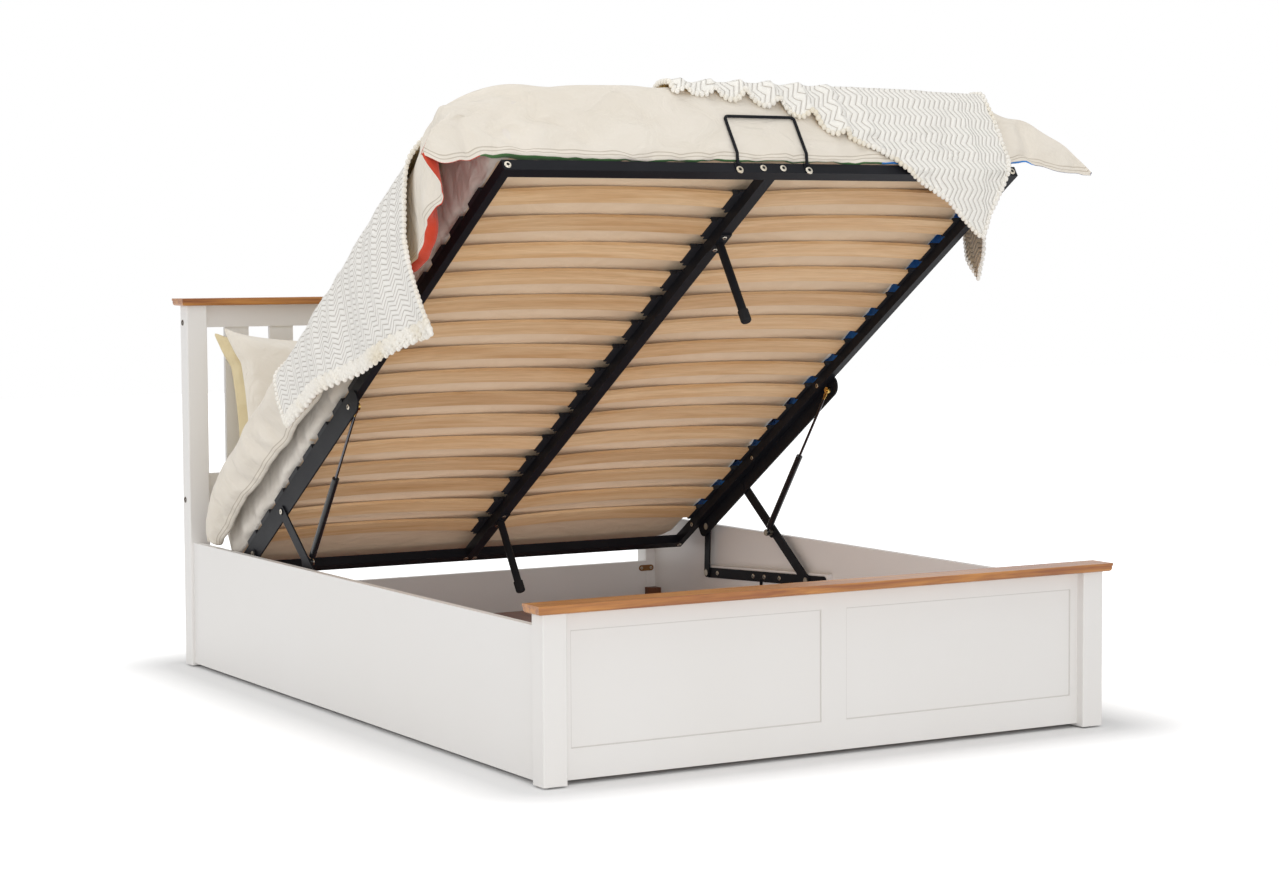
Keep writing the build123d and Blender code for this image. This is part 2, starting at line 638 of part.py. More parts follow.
def strut_rod():
    """Piston rod with its end eye; the stud that carries the eye is on the bar."""
    half = EYE_THICK * HALF_SHARE
    rod = disc_y(STRUT_BODY_LENGTH - ROD_INSIDE, STRUT_LENGTH, 0, 0, ROD_RADIUS)
    collar = disc_y(
        STRUT_LENGTH - EYE_RADIUS - EYE_THICK, STRUT_LENGTH - EYE_RADIUS, 0, 0, STRUT_NECK_RADIUS
    )
    eye = disc_x(-half, half, STRUT_LENGTH, 0, EYE_RADIUS)
    nut = disc_x(-half - PIVOT_HEAD_THICK, -half, STRUT_LENGTH, 0, STRUT_NECK_RADIUS)
    return along_strut(rod + collar + eye + nut)


# %% Platform, drawn level

def side_rail():
    return block(
        RAIL_INNER, RAIL_OUTER,
        -FOOT_RUN + END_RAIL_WIDTH, PLATFORM_BEHIND_PIVOT - END_RAIL_WIDTH,
        RAIL_ABOVE_PIVOT, RAIL_TOP,
    )


def end_rail(y0):
    return block(-RAIL_OUTER, RAIL_OUTER, y0, y0 + END_RAIL_WIDTH, RAIL_ABOVE_PIVOT, RAIL_TOP)


def centre_rail():
    half = CENTRE_RAIL_WIDTH * HALF_SHARE
    return block(
        -half, half,
        -FOOT_RUN + END_RAIL_WIDTH, PLATFORM_BEHIND_PIVOT - END_RAIL_WIDTH,
        RAIL_ABOVE_PIVOT, RAIL_TOP,
    )


def upper_bar():
    """Hanging plate on the side rail with the upper pivots and a round nose."""
    nose = -STRUT_RUN - BAR_NOSE_AHEAD
    plate = block(
        BAR_X, BAR_X + BAR_THICK, nose, BAR_HEAD_RUN, -BAR_DROP, RAIL_ABOVE_PIVOT + BAR_LAP
    )
    tail = plate.edges().filter_by(Axis.X).group_by(Axis.Y)[-1].sort_by(Axis.Z)[0]
    plate = fillet(tail, BAR_DROP)
    lobe = disc_x(BAR_X, BAR_X + BAR_THICK, nose, BAR_NOSE_RADIUS - BAR_DROP, BAR_NOSE_RADIUS)
    boss = disc_x(
        BAR_X - STRUT_BOSS_LENGTH, BAR_X, -STRUT_RUN, 0, STRUT_BOSS_RADIUS
    )
    rivet = disc_x(BAR_X - PIVOT_HEAD_THICK, BAR_X, -BAR_PIVOT_SPACING, 0, PIVOT_HEAD_RADIUS)
    return plate + lobe + boss + rivet


def bar_pins():
    """Pins on the upper bars that turn in the rear links."""
    shank = disc_x(BAR_X + BAR_THICK, BASE_X, 0, 0, PIVOT_RADIUS)
    head = disc_x(BASE_X, BASE_X + PIVOT_HEAD_THICK, 0, 0, PIVOT_HEAD_RADIUS)
    inner = disc_x(BAR_X - PIVOT_HEAD_THICK, BAR_X, 0, 0, PIVOT_HEAD_RADIUS)
    return [shank + head, inner]


def platform_fasteners():
    """Bolts of the bars, the legs, the corners, the centre rail and the hoop."""
    solids = []
    rise = RAIL_ABOVE_PIVOT + BAR_BOLT_RISE
    for share in BAR_BOLT_SHARES:
        bolt = disc_x(
            RAIL_INNER - BAR_BOLT_HEAD, RAIL_INNER, -share * STRUT_RUN, rise, BAR_BOLT_RADIUS
        )
        solids += both_sides([bolt])
    low = RAIL_ABOVE_PIVOT - LEG_FLANGE_THICK
    for run in (FRONT_LEG_RUN, REAR_LEG_RUN):
        for side in (-1, 1):
            y = -run + side * LEG_BOLT_SPACING * HALF_SHARE
            solids.append(disc_z(low - LEG_BOLT_HEAD, low, 0, y, LEG_BOLT_RADIUS))
    middle = (RAIL_ABOVE_PIVOT + RAIL_TOP) * HALF_SHARE
    front = -FOOT_RUN
    for x in (-CENTRE_BOLT_HALF, CENTRE_BOLT_HALF, RAIL_OUTER - CORNER_BOLT_INSET, -RAIL_OUTER + CORNER_BOLT_INSET):
        solids.append(disc_y(front - FOOT_RAIL_BOLT_HEAD, front, x, middle, FOOT_RAIL_BOLT_RADIUS))
    for x in (-HOOP_HALF_WIDTH, HOOP_HALF_WIDTH):
        face = front - HOOP_TAB_THICK
        solids.append(disc_y(face - FOOT_RAIL_BOLT_HEAD, face, x, RAIL_ABOVE_PIVOT + FOOT_RAIL_BOLT_RADIUS, FOOT_RAIL_BOLT_RADIUS))
    for x in (-CENTRE_BOLT_HALF * HALF_SHARE, CENTRE_BOLT_HALF * HALF_SHARE, RAIL_OUTER - CORNER_BOLT_INSET, -RAIL_OUTER + CORNER_BOLT_INSET):
        y = PLATFORM_BEHIND_PIVOT - END_RAIL_WIDTH * HALF_SHARE
        solids.append(disc_z(RAIL_ABOVE_PIVOT - FOOT_RAIL_BOLT_HEAD, RAIL_ABOVE_PIVOT, x, y, FOOT_RAIL_BOLT_RADIUS))
    return solids


def slat_middle(i):
    return -FOOT_RUN + FIRST_SLAT_BACK - SLAT_WIDTH * HALF_SHARE + i * SLAT_PITCH


SLAT_BOTTOM = RAIL_TOP + HOLDER_FLOOR
HOLDER_TOP = SLAT_BOTTOM + SLAT_THICK + HOLDER_ROOF
SLAT_OUTER = RAIL_OUTER - HOLDER_BACK_WALL - SEAT_GAP
SLAT_INNER = CENTRE_HOLDER_WEB + SEAT_GAP
SLAT_ARC_OUTER = RAIL_OUTER - HOLDER_DEPTH - SEAT_GAP
SLAT_ARC_INNER = CENTRE_HOLDER_HALF + SEAT_GAP


def slat(i):
    """Sprung slat: level ends in the holders and a crown between them."""
    middle = (SLAT_ARC_INNER + SLAT_ARC_OUTER) * HALF_SHARE
    low = SLAT_BOTTOM
    high = SLAT_BOTTOM + SLAT_THICK
    start = Plane(origin=(0, slat_middle(i) + SLAT_WIDTH * HALF_SHARE, 0), x_dir=(1, 0, 0), z_dir=(0, -1, 0))
    outline = [
        Line((SLAT_INNER, low), (SLAT_ARC_INNER, low)),
        ThreePointArc((SLAT_ARC_INNER, low), (middle, low + SLAT_CROWN), (SLAT_ARC_OUTER, low)),
        Line((SLAT_ARC_OUTER, low), (SLAT_OUTER, low)),
        Line((SLAT_OUTER, low), (SLAT_OUTER, high)),
        Line((SLAT_OUTER, high), (SLAT_ARC_OUTER, high)),
        ThreePointArc((SLAT_ARC_OUTER, high), (middle, high + SLAT_CROWN), (SLAT_ARC_INNER, high)),
        Line((SLAT_ARC_INNER, high), (SLAT_INNER, high)),
        Line((SLAT_INNER, high), (SLAT_INNER, low)),
    ]
    return extrude(start * make_face(outline), SLAT_WIDTH)


def slot_for(i, x0, x1):
    half = SLAT_WIDTH * HALF_SHARE + SEAT_GAP
    y = slat_middle(i)
    return block(
        x0, x1, y - half, y + half, SLAT_BOTTOM - SEAT_GAP, SLAT_BOTTOM + SLAT_THICK + SEAT_GAP
    )


def outer_holder(i):
    """Pocket on the side rail that takes the outer end of one slat."""
    half = SLAT_WIDTH * HALF_SHARE + SEAT_GAP + HOLDER_WALL
    y = slat_middle(i)
    body = block(RAIL_OUTER - HOLDER_DEPTH, RAIL_OUTER, y - half, y + half, RAIL_TOP, HOLDER_TOP)
    return body - slot_for(i, RAIL_OUTER - HOLDER_DEPTH - CUT_OVERRUN, RAIL_OUTER - HOLDER_BACK_WALL)


def centre_holder(i):
    """Double pocket on the centre rail with a stepped outline."""
    half = SLAT_WIDTH * HALF_SHARE + SEAT_GAP + HOLDER_WALL
    y = slat_middle(i)
    wide = CENTRE_HOLDER_HALF
    body = block(-wide, wide, y - half, y + half, RAIL_TOP, HOLDER_TOP)
    foot = block(
        -wide + CENTRE_HOLDER_STEP, wide - CENTRE_HOLDER_STEP,
        y - half - CENTRE_HOLDER_STEP, y + half + CENTRE_HOLDER_STEP,
        RAIL_TOP, SLAT_BOTTOM,
    )
    body = body + foot
    return (
        body
        - slot_for(i, CENTRE_HOLDER_WEB, wide + CUT_OVERRUN)
        - slot_for(i, -wide - CUT_OVERRUN, -CENTRE_HOLDER_WEB)
    )


def legs():
    """Tube legs that hang from the centre rail, each under a bolted flange."""
    solids = []
    for run in (FRONT_LEG_RUN, REAR_LEG_RUN):
        low = RAIL_ABOVE_PIVOT - LEG_FLANGE_THICK
        half = LEG_FLANGE_LENGTH * HALF_SHARE
        wide = CENTRE_RAIL_WIDTH * HALF_SHARE
        flange = block(-wide, wide, -run - half, -run + half, low, RAIL_ABOVE_PIVOT)
        tube = disc_z(RAIL_ABOVE_PIVOT - LEG_REACH + LEG_FOOT_HEIGHT, low, 0, -run, LEG_RADIUS)
        solids.append(flange + tube)
    return solids


def leg_feet():
    solids = []
    for run in (FRONT_LEG_RUN, REAR_LEG_RUN):
        low = RAIL_ABOVE_PIVOT - LEG_REACH
        foot = disc_z(low, low + LEG_FOOT_HEIGHT, 0, -run, LEG_FOOT_RADIUS)
        solids.append(fillet(foot.faces().sort_by(Axis.Z)[0].edges(), LEG_FOOT_ROUND))
    return solids


def hoop():
    """Rod hoop on the foot rail that keeps the mattress from sliding."""
    face = -FOOT_RUN - HOOP_ROD_RADIUS
    out = face - HOOP_STEP
    x = HOOP_HALF_WIDTH
    base = RAIL_ABOVE_PIVOT + HOOP_TAB_WIDTH
    points = [
        (-x, face, base), (-x, face, HOOP_STEP_START), (-x, out, HOOP_STEP_END),
        (-x, out, HOOP_TOP - HOOP_ROD_RADIUS), (x, out, HOOP_TOP - HOOP_ROD_RADIUS),
        (x, out, HOOP_STEP_END), (x, face, HOOP_STEP_START), (x, face, base),
    ]
    # small bends at the steps leave a straight foot on each leg
    small = HOOP_BEND * HALF_SHARE
    path = FilletPolyline(*points, radius=[small, small, HOOP_BEND, HOOP_BEND, small, small])
    section = Plane(origin=path @ 0, z_dir=path % 0) * Circle(HOOP_ROD_RADIUS)
    rod = sweep(section, path=path)
    half = HOOP_TAB_WIDTH * HALF_SHARE
    tabs = [
        block(
            side * x - half, side * x + half, -FOOT_RUN - HOOP_TAB_THICK, -FOOT_RUN,
            RAIL_ABOVE_PIVOT, RAIL_TOP,
        )
        for side in (-1, 1)
    ]
    return rod + tabs[0] + tabs[1]


# %% Bedding, drawn level

MATTRESS_LOW = SLAT_BOTTOM + SLAT_THICK + SLAT_CROWN + SEAT_GAP
MATTRESS_HIGH = MATTRESS_LOW + MATTRESS_THICK
MATTRESS_FOOT = -FOOT_RUN + MATTRESS_FOOT_SET
MATTRESS_HEAD = MATTRESS_FOOT + MATTRESS_LENGTH


def mattress():
    half = MATTRESS_WIDTH * HALF_SHARE
    body = block(-half, half, MATTRESS_FOOT, MATTRESS_HEAD, MATTRESS_LOW, MATTRESS_HIGH)
    body = fillet(body.edges().filter_by(Axis.Z), MATTRESS_CORNER)
    rims = body.faces().sort_by(Axis.Z)
    return fillet(rims[0].edges() + rims[-1].edges(), MATTRESS_EDGE)


def duvet_section(y, flare, fold, lift):
    """Arch of the duvet across the bed at one station, both drops alike."""
    inner = MATTRESS_WIDTH * HALF_SHARE + SEAT_GAP
    low = MATTRESS_HIGH + SEAT_GAP
    top = low + DUVET_THICK
    hem = DUVET_HEM + lift + flare * DUVET_SHOULDER
    out = inner + DUVET_SPREAD + flare * DUVET_FLARE + fold * DUVET_FOLD
    thick = DUVET_DROP_THICK
    bulge = inner + DUVET_DROP_THICK + (out - inner) * HALF_SHARE
    high = low - DUVET_SHOULDER * HALF_SHARE
    crown = DUVET_THICK * HALF_SHARE * HALF_SHARE
    right = [(out, hem), (bulge + thick * HALF_SHARE, high), (inner - DUVET_SHOULDER * HALF_SHARE, top)]
    outer_left = [(-p[0], p[1]) for p in right]
    edges = [
        Line(right[0], right[1]),
        ThreePointArc(
            right[1],
            ((right[1][0] + right[2][0]) * HALF_SHARE + crown, (right[1][1] + right[2][1]) * HALF_SHARE + crown),
            right[2],
        ),
        ThreePointArc(right[2], (0, top + crown), outer_left[2]),
        ThreePointArc(
            outer_left[2],
            (-(right[1][0] + right[2][0]) * HALF_SHARE - crown, (right[1][1] + right[2][1]) * HALF_SHARE + crown),
            outer_left[1],
        ),
        Line(outer_left[1], outer_left[0]),
        Line(outer_left[0], (-out + thick, hem)),
        Line((-out + thick, hem), (-inner, low - DUVET_SHOULDER)),
        Line((-inner, low - DUVET_SHOULDER), (-inner, low)),
        Line((-inner, low), (inner, low)),
        Line((inner, low), (inner, low - DUVET_SHOULDER)),
        Line((inner, low - DUVET_SHOULDER), (out - thick, hem)),
        Line((out - thick, hem), right[0]),
    ]
    plane = Plane(origin=(0, y, 0), x_dir=(1, 0, 0), z_dir=(0, -1, 0))
    return plane * make_face(edges)


def duvet():
    """Duvet over the mattress: an arch with folded drops and a thin foot drop."""
    start = MATTRESS_FOOT - SEAT_GAP
    run = MATTRESS_HEAD - DUVET_HEAD_RUN - start
    sections = []
    for share, flare, fold in zip(DUVET_STATION_SHARES, DUVET_FLARE_SHARES, DUVET_FOLD_SHARES):
        lift = share * DUVET_HEAD_HEM_LIFT
        sections.append(duvet_section(start + share * run, flare, fold, lift))
    body = loft(sections, ruled=True)
    reach = MATTRESS_WIDTH * HALF_SHARE - DUVET_FOOT_SIDE_SET
    drop = block(
        -reach, reach, start - DUVET_FOOT_CLOTH, start, DUVET_FOOT_HEM,
        MATTRESS_HIGH + DUVET_THICK * HALF_SHARE,
    )
    return body + drop


def throw_left():
    """Knitted throw over the left side, with an oblique hem outside the duvet."""
    inner = MATTRESS_WIDTH * HALF_SHARE + SEAT_GAP
    top = MATTRESS_HIGH + SEAT_GAP + DUVET_THICK * (1 + HALF_SHARE)
    sections = []
    for share, fold in zip(THROW_STATION_SHARES, THROW_FOLD_SHARES):
        y = -THROW_FOOT_RUN + share * THROW_LENGTH
        hem = THROW_FRONT_HEM + share * (THROW_REAR_HEM - THROW_FRONT_HEM)
        out = inner + THROW_OUT + fold * THROW_FOLD
        knee = MATTRESS_HIGH
        points = [
            (-(inner - THROW_TOP_REACH), top), (-(inner - THROW_TOP_REACH), top + THROW_THICK),
            (-(inner), top + THROW_THICK), (-(out + THROW_THICK), knee), (-(out + THROW_THICK), hem),
            (-out, hem), (-out, knee - THROW_THICK * HALF_SHARE), (-(inner), top),
        ]
        plane = Plane(origin=(0, y, 0), x_dir=(1, 0, 0), z_dir=(0, -1, 0))
        sections.append(plane * make_face(Polyline(*points, close=True)))
    return loft(sections, ruled=True)


def throw_right():
    """Knitted throw across the right foot corner: a top lap, and a drop whose tip hangs back under the rail."""
    half = MATTRESS_WIDTH * HALF_SHARE
    top = MATTRESS_HIGH + SEAT_GAP + DUVET_THICK * (1 + HALF_SHARE)
    front = MATTRESS_FOOT - SEAT_GAP - DUVET_FOOT_CLOTH - SEAT_GAP - FLAP_THICK
    plane = Plane(origin=(0, front + FLAP_THICK, 0), x_dir=(1, 0, 0), z_dir=(0, -1, 0))
    points = [(share[0] * half, top - share[1] * FLAP_DROP) for share in FLAP_TIP_SHARES]
    drop = extrude(plane * make_face(Polyline(*points, close=True)), FLAP_THICK)
    bend = Pos(0, front, top - FLAP_DROP) * Rot(LIFT_TILT, 0, 0) * Pos(0, FLAP_THICK, 0)
    hang_points = [(share[0] * half, -share[1] * FLAP_HANG) for share in FLAP_HANG_SHARES]
    level = Plane(origin=(0, 0, 0), x_dir=(1, 0, 0), z_dir=(0, -1, 0))
    hang = bend * extrude(level * make_face(Polyline(*hang_points, close=True)), FLAP_THICK)
    left = FLAP_TOP_X_SHARES[0] * half
    right = FLAP_TOP_X_SHARES[1] * half
    lap = block(left, right, front, front + FLAP_LAP, top, top + THROW_THICK)
    return drop + hang + lap


def mattress_top_at(y):
    """Height of the raised mattress's upper face at a place along the bed."""
    slope = math.radians(LIFT_TILT)
    edge_y = REAR_TOP[0] + MATTRESS_HEAD * math.cos(slope) + MATTRESS_HIGH * math.sin(slope)
    edge_z = REAR_TOP[1] - MATTRESS_HEAD * math.sin(slope) + MATTRESS_HIGH * math.cos(slope)
    return edge_z + (edge_y - y) * math.tan(slope)


def pillow(centre, back):
    """Pillow drawn upright: drawn-in ends and a crown between them."""
    sections = []
    for share, thick_share, height_share in zip(
        PILLOW_STATION_SHARES, PILLOW_THICK_SHARES, PILLOW_HEIGHT_SHARES
    ):
        thick = PILLOW_THICK * thick_share * HALF_SHARE
        tall = PILLOW_HEIGHT * height_share * HALF_SHARE
        edge = min(PILLOW_EDGE * thick_share, thick) * HALF_SHARE
        outline = [
            ThreePointArc((-edge, -tall), (-thick, 0), (-edge, tall)),
            Line((-edge, tall), (edge, tall)),
            ThreePointArc((edge, tall), (thick, 0), (edge, -tall)),
            Line((edge, -tall), (-edge, -tall)),
        ]
        plane = Plane(origin=(share * PILLOW_WIDTH, 0, 0), x_dir=(0, 1, 0), z_dir=(1, 0, 0))
        sections.append(plane * make_face(outline))
    body = loft(sections, ruled=True)
    upright = Rot(-PILLOW_LEAN, 0, 0) * body
    placed = Pos(centre, back - PILLOW_THICK * HALF_SHARE, 0) * upright
    low = min(v.Z - mattress_top_at(v.Y) for v in placed.vertices())
    return Pos(0, 0, SEAT_GAP - low) * placed


def pillows(back):
    centre = PILLOW_WIDTH * HALF_SHARE + PILLOW_MIDDLE_GAP * HALF_SHARE
    return [pillow(-centre, back), pillow(centre, back)]


# %% Nodes

def raised(solids):
    return [RAISED * s for s in solids]


def build():
    foot_cap_y = (FOOT_Y - FOOT_CAP_FRONT_OVERHANG, FOOT_POST_BACK + FOOT_CAP_BACK_OVERHANG)
    head_cap_y = (HEAD_POST_FRONT - HEAD_CAP_FRONT_OVERHANG, HEAD_Y + HEAD_CAP_BACK_OVERHANG)
    top_rail_low = HEAD_POST_TOP - HEAD_TOP_RAIL_HEIGHT
    foot_rail_low = FOOT_POST_TOP - FOOT_TOP_RAIL_HEIGHT
    side_panel = block(
        PANEL_INNER, PANEL_OUTER, FOOT_POST_BACK, HEAD_POST_FRONT, PANEL_BOTTOM, SIDE_PANEL_TOP
    )
    nodes = {
        "head_posts": posts(HEAD_POST_TOP, HEAD_POST_FRONT, HEAD_Y),
        "foot_posts": posts(FOOT_POST_TOP, FOOT_Y, FOOT_POST_BACK),
        "head_cap": cap(HEAD_POST_TOP, *head_cap_y),
        "foot_cap": cap(FOOT_POST_TOP, *foot_cap_y),
        "head_top_rail": [
            block(-INNER_HALF, INNER_HALF, HEAD_RAIL_FRONT, HEAD_RAIL_BACK, top_rail_low, HEAD_POST_TOP)
        ],
        "head_mid_rail": [
            block(
                -INNER_HALF, INNER_HALF, HEAD_RAIL_FRONT, HEAD_RAIL_BACK,
                HEAD_MID_RAIL_TOP - HEAD_MID_RAIL_HEIGHT, HEAD_MID_RAIL_TOP,
            )
        ],
        "head_slats": head_slats(),
        "head_lower_panel": [
            block(
                -INNER_HALF, INNER_HALF, HEAD_POST_FRONT, HEAD_POST_FRONT + PANEL_THICK,
                PANEL_BOTTOM, HEAD_PANEL_TOP,
            )
        ],
        "foot_top_rail": [
            block(-INNER_HALF, INNER_HALF, FOOT_FRONT, FOOT_BACK, foot_rail_low, FOOT_POST_TOP)
        ],
        "foot_bottom_rail": [
            block(-INNER_HALF, INNER_HALF, FOOT_FRONT, FOOT_BACK, PANEL_BOTTOM, FOOT_BOTTOM_RAIL_TOP)
        ],
        "foot_stiles": foot_stiles(),
        "foot_panels": foot_panels(),
        "side_panel_left": [mirrored(side_panel)],
        "side_panel_right": [side_panel],
        "lift_batten_left": [mirrored(lift_batten())],
        "lift_batten_right": [lift_batten()],
        "storage_boards": floor_boards(),
        "floor_ledgers": floor_ledgers(),
        "floor_beams": floor_beams(),
        "corner_plates": corner_plates(),
        "corner_blocks": corner_blocks(),
        "frame_fasteners": frame_fasteners(),
        "post_glides": post_glides(),
        "base_plate_left": [mirrored(base_plate())],
        "base_plate_right": [base_plate()],
        "pivot_pins": pivot_pins(),
        "rear_link_left": [mirrored(rear_link())],
        "rear_link_right": [rear_link()],
        "front_link_left": [mirrored(front_link())],
        "front_link_right": [front_link()],
        "strut_stubs": strut_stubs(),
        "strut_cylinder_left": [mirrored(strut_cylinder())],
        "strut_cylinder_right": [strut_cylinder()],
        "strut_rod_left": [mirrored(strut_rod())],
        "strut_rod_right": [strut_rod()],
        "side_rail_left": raised([mirrored(side_rail())]),
        "side_rail_right": raised([side_rail()]),
        "head_rail": raised([end_rail(PLATFORM_BEHIND_PIVOT - END_RAIL_WIDTH)]),
        "foot_rail": raised([end_rail(-FOOT_RUN)]),
        "centre_rail": raised([centre_rail()]),
        "upper_bar_left": raised([mirrored(upper_bar())]),
        "upper_bar_right": raised([upper_bar()]),
        "bar_pins": raised(both_sides(bar_pins())),
        "platform_fasteners": raised(platform_fasteners()),
        "outer_holders_left": raised([mirrored(outer_holder(i)) for i in range(SLAT_COUNT)]),
        "outer_holders_right": raised([outer_holder(i) for i in range(SLAT_COUNT)]),
        "centre_holders": raised([centre_holder(i) for i in range(SLAT_COUNT)]),
        "slats_left": raised([mirrored(slat(i)) for i in range(SLAT_COUNT)]),
        "slats_right": raised([slat(i) for i in range(SLAT_COUNT)]),
        "centre_legs": raised(legs()),
        "leg_feet": raised(leg_feet()),
        "retainer_hoop": raised([hoop()]),
        "mattress": raised([mattress()]),
        "duvet": raised([duvet()]),
        "throw_left": raised([throw_left()]),
        "throw_right": raised([throw_right()]),
        "pillows_front": pillows(PILLOW_BACK - PILLOW_THICK - SEAT_GAP),
        "pillows_back": pillows(PILLOW_BACK),
    }
    os.makedirs("parts", exist_ok=True)
    for name, solids in nodes.items():
        export_step(Compound(children=list(solids)), os.path.join("parts", name + ".step"))
    print("upper rear pivot raised", REAR_TOP, "level", REAR_TOP_DOWN)
    print("upper front pivot raised", FRONT_TOP, "level", FRONT_TOP_DOWN)
    print("strut foot raised", STRUT_FOOT, "level", STRUT_FOOT_DOWN)
    print("strut top raised", STRUT_TOP, "level", STRUT_TOP_DOWN)
    print("strut length raised", STRUT_LENGTH, "level", STRUT_LENGTH_DOWN)
    rear_turn = heading(REAR_BASE, REAR_TOP_DOWN) - heading(REAR_BASE, REAR_TOP)
    front_turn = LINK_HEADING_DOWN - LINK_HEADING
    strut_turn = heading(STRUT_FOOT_DOWN, STRUT_TOP_DOWN) - STRUT_HEADING - front_turn
    print("turns: rear link", rear_turn, "front link", front_turn, "strut", strut_turn)
    print("platform turn on the rear links", LIFT_TILT - rear_turn)
    print("nodes", len(nodes))


build()
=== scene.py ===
# %% [markdown]
# This lesson dresses an ottoman storage bed in Blender: a painted frame, a sprung platform that
# is lifted at its foot end, and the bedding that rides on it. The solid model comes first as a
# fixed frame, so everything that is added here is placed by sizes that the model already has.
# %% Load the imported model
import math

import bpy
import numpy as np
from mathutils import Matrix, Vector, noise
from mathutils.bvhtree import BVHTree


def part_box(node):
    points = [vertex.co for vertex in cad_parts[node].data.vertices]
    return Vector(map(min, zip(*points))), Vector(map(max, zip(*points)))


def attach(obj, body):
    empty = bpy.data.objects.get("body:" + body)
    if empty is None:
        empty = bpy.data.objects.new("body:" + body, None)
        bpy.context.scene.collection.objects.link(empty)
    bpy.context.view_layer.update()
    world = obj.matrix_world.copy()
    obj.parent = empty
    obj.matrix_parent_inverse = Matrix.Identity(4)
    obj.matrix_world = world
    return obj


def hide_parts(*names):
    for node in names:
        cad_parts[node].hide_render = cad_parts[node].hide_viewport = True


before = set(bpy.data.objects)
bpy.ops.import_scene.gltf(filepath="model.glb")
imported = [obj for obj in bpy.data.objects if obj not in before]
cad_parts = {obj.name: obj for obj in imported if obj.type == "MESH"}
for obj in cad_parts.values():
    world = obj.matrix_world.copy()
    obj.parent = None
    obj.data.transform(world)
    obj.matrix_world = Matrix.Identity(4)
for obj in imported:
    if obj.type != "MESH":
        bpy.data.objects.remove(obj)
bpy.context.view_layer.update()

# %% [markdown]
# The camera comes next, because every later choice is judged through it. The photograph was taken
# with a fairly long lens from the left of the foot end, about a metre above the floor. Its place,
# angles and lens were worked out from the edges of the bed frame, so the view can be overlaid. The
# view transform is Standard, so that a white wall comes out white and not as a soft film grey.
# %% Camera
SENSOR_WIDTH, LENS = 36.0, 77.5245
camera_data = bpy.data.cameras.new("photo_camera")
camera_data.sensor_width = SENSOR_WIDTH
camera_data.lens = LENS
camera_data.clip_end = 60.0
camera = bpy.data.objects.new("photo_camera", camera_data)
camera.location = (-3.31814, -5.92066, 1.08269)
camera.rotation_euler = [math.radians(a) for a in (86.1654, 0.3046, -29.9531)]
bpy.context.scene.collection.objects.link(camera)
bpy.context.scene.camera = camera
bpy.context.scene.view_settings.view_transform = "Standard"
print("camera", round(LENS, 1), "mm lens at", [round(c, 2) for c in camera.location])

# %% [markdown]
# A few small helpers carry the whole lesson. Colours are written as the hex values that a painter
# would pick on a screen, and one function turns them into the linear values that Blender mixes.
# `wire` fills a node's inputs: another node or socket is linked, anything else is set as a value.
# `add` makes a shader node with its settings and inputs in one call, and `chain` adds a row of
# them, each fed by the one before. `laid_over` puts one more colour over a finished material, and
# `coat` puts a material on pieces of the solid model.
# %% Colour and node helpers


def linear(code):
    parts = [int(code[i : i + 2], 16) / 255 for i in (1, 3, 5)]
    return tuple(p / 12.92 if p <= 0.04045 else ((p + 0.055) / 1.055) ** 2.4 for p in parts) + (1.0,)


def wire(node, inputs):
    for name, value in inputs.items():
        if isinstance(value, bpy.types.Node):
            value = next(socket for socket in value.outputs if socket.enabled)
        if isinstance(value, bpy.types.NodeSocket):
            node.id_data.links.new(value, node.inputs[name])
        else:
            node.inputs[name].default_value = value


def add(tree, kind, inputs=None, **options):
    node = tree.nodes.new("ShaderNode" + kind)
    for name, value in options.items():
        setattr(node, name, value)
    wire(node, inputs or {})
    return node


def chain(tree, kind, flow, *steps):
    for operation, *values in steps:
        flow = add(tree, kind, dict(enumerate([flow, *values])), operation=operation)
    return flow


def new_finish(name, colour, roughness, metallic=0.0):
    material = bpy.data.materials.new(name)
    material.use_nodes = True
    shader = material.node_tree.nodes["Principled BSDF"]
    wire(shader, {"Base Color": linear(colour), "Roughness": roughness, "Metallic": metallic})
    return material, material.node_tree, shader


def laid_over(material, colour, share, **options):
    shader = material.node_tree.nodes["Principled BSDF"]
    under = shader.inputs["Base Color"].links[0].from_socket
    colours = {0: share, 6: under, 7: linear(colour)}
    wire(shader, {"Base Color": add(material.node_tree, "Mix", colours, data_type="RGBA", **options)})


def coat(material, *nodes):
    for name in nodes:
        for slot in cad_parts[name].material_slots:
            slot.material = material


print("white reads as", [round(c, 3) for c in linear("#FFFFFF")])

# %% [markdown]
# The studio is a pale floor under a big soft light from above and in front, with a dim white room
# around it. The front lamp is low and wide, because it has to reach up under the lifted platform.
# The lamps stay at a plain level, so a colour renders about as it is written. The pure white behind
# the bed is only what the camera, glossy and clear surfaces see of floor and room, and the floor
# still takes the bed's soft shadow.
# %% Floor and room


def fresh(primitive, **settings):
    """Adds a primitive with nothing else selected, and gives it back."""
    bpy.ops.object.select_all(action="DESELECT")
    primitive(**settings)
    return bpy.context.object


def background_rays(tree):
    """One for the rays that see the white set, camera, glossy and clear ones, and else nought."""
    rays = add(tree, "LightPath").outputs
    others = [("MAXIMUM", rays[f"Is {kind} Ray"]) for kind in ("Glossy", "Transmission")]
    return chain(tree, "Math", rays["Is Camera Ray"], *others)


floor = fresh(bpy.ops.mesh.primitive_plane_add, size=30.0, location=(0, 0, 0))
floor.name = "studio_floor"
floor_paint, tree, shader = new_finish("pale_studio_floor", "#F4F4F4", 0.9)
wire(shader, {"Specular IOR Level": 0.0})
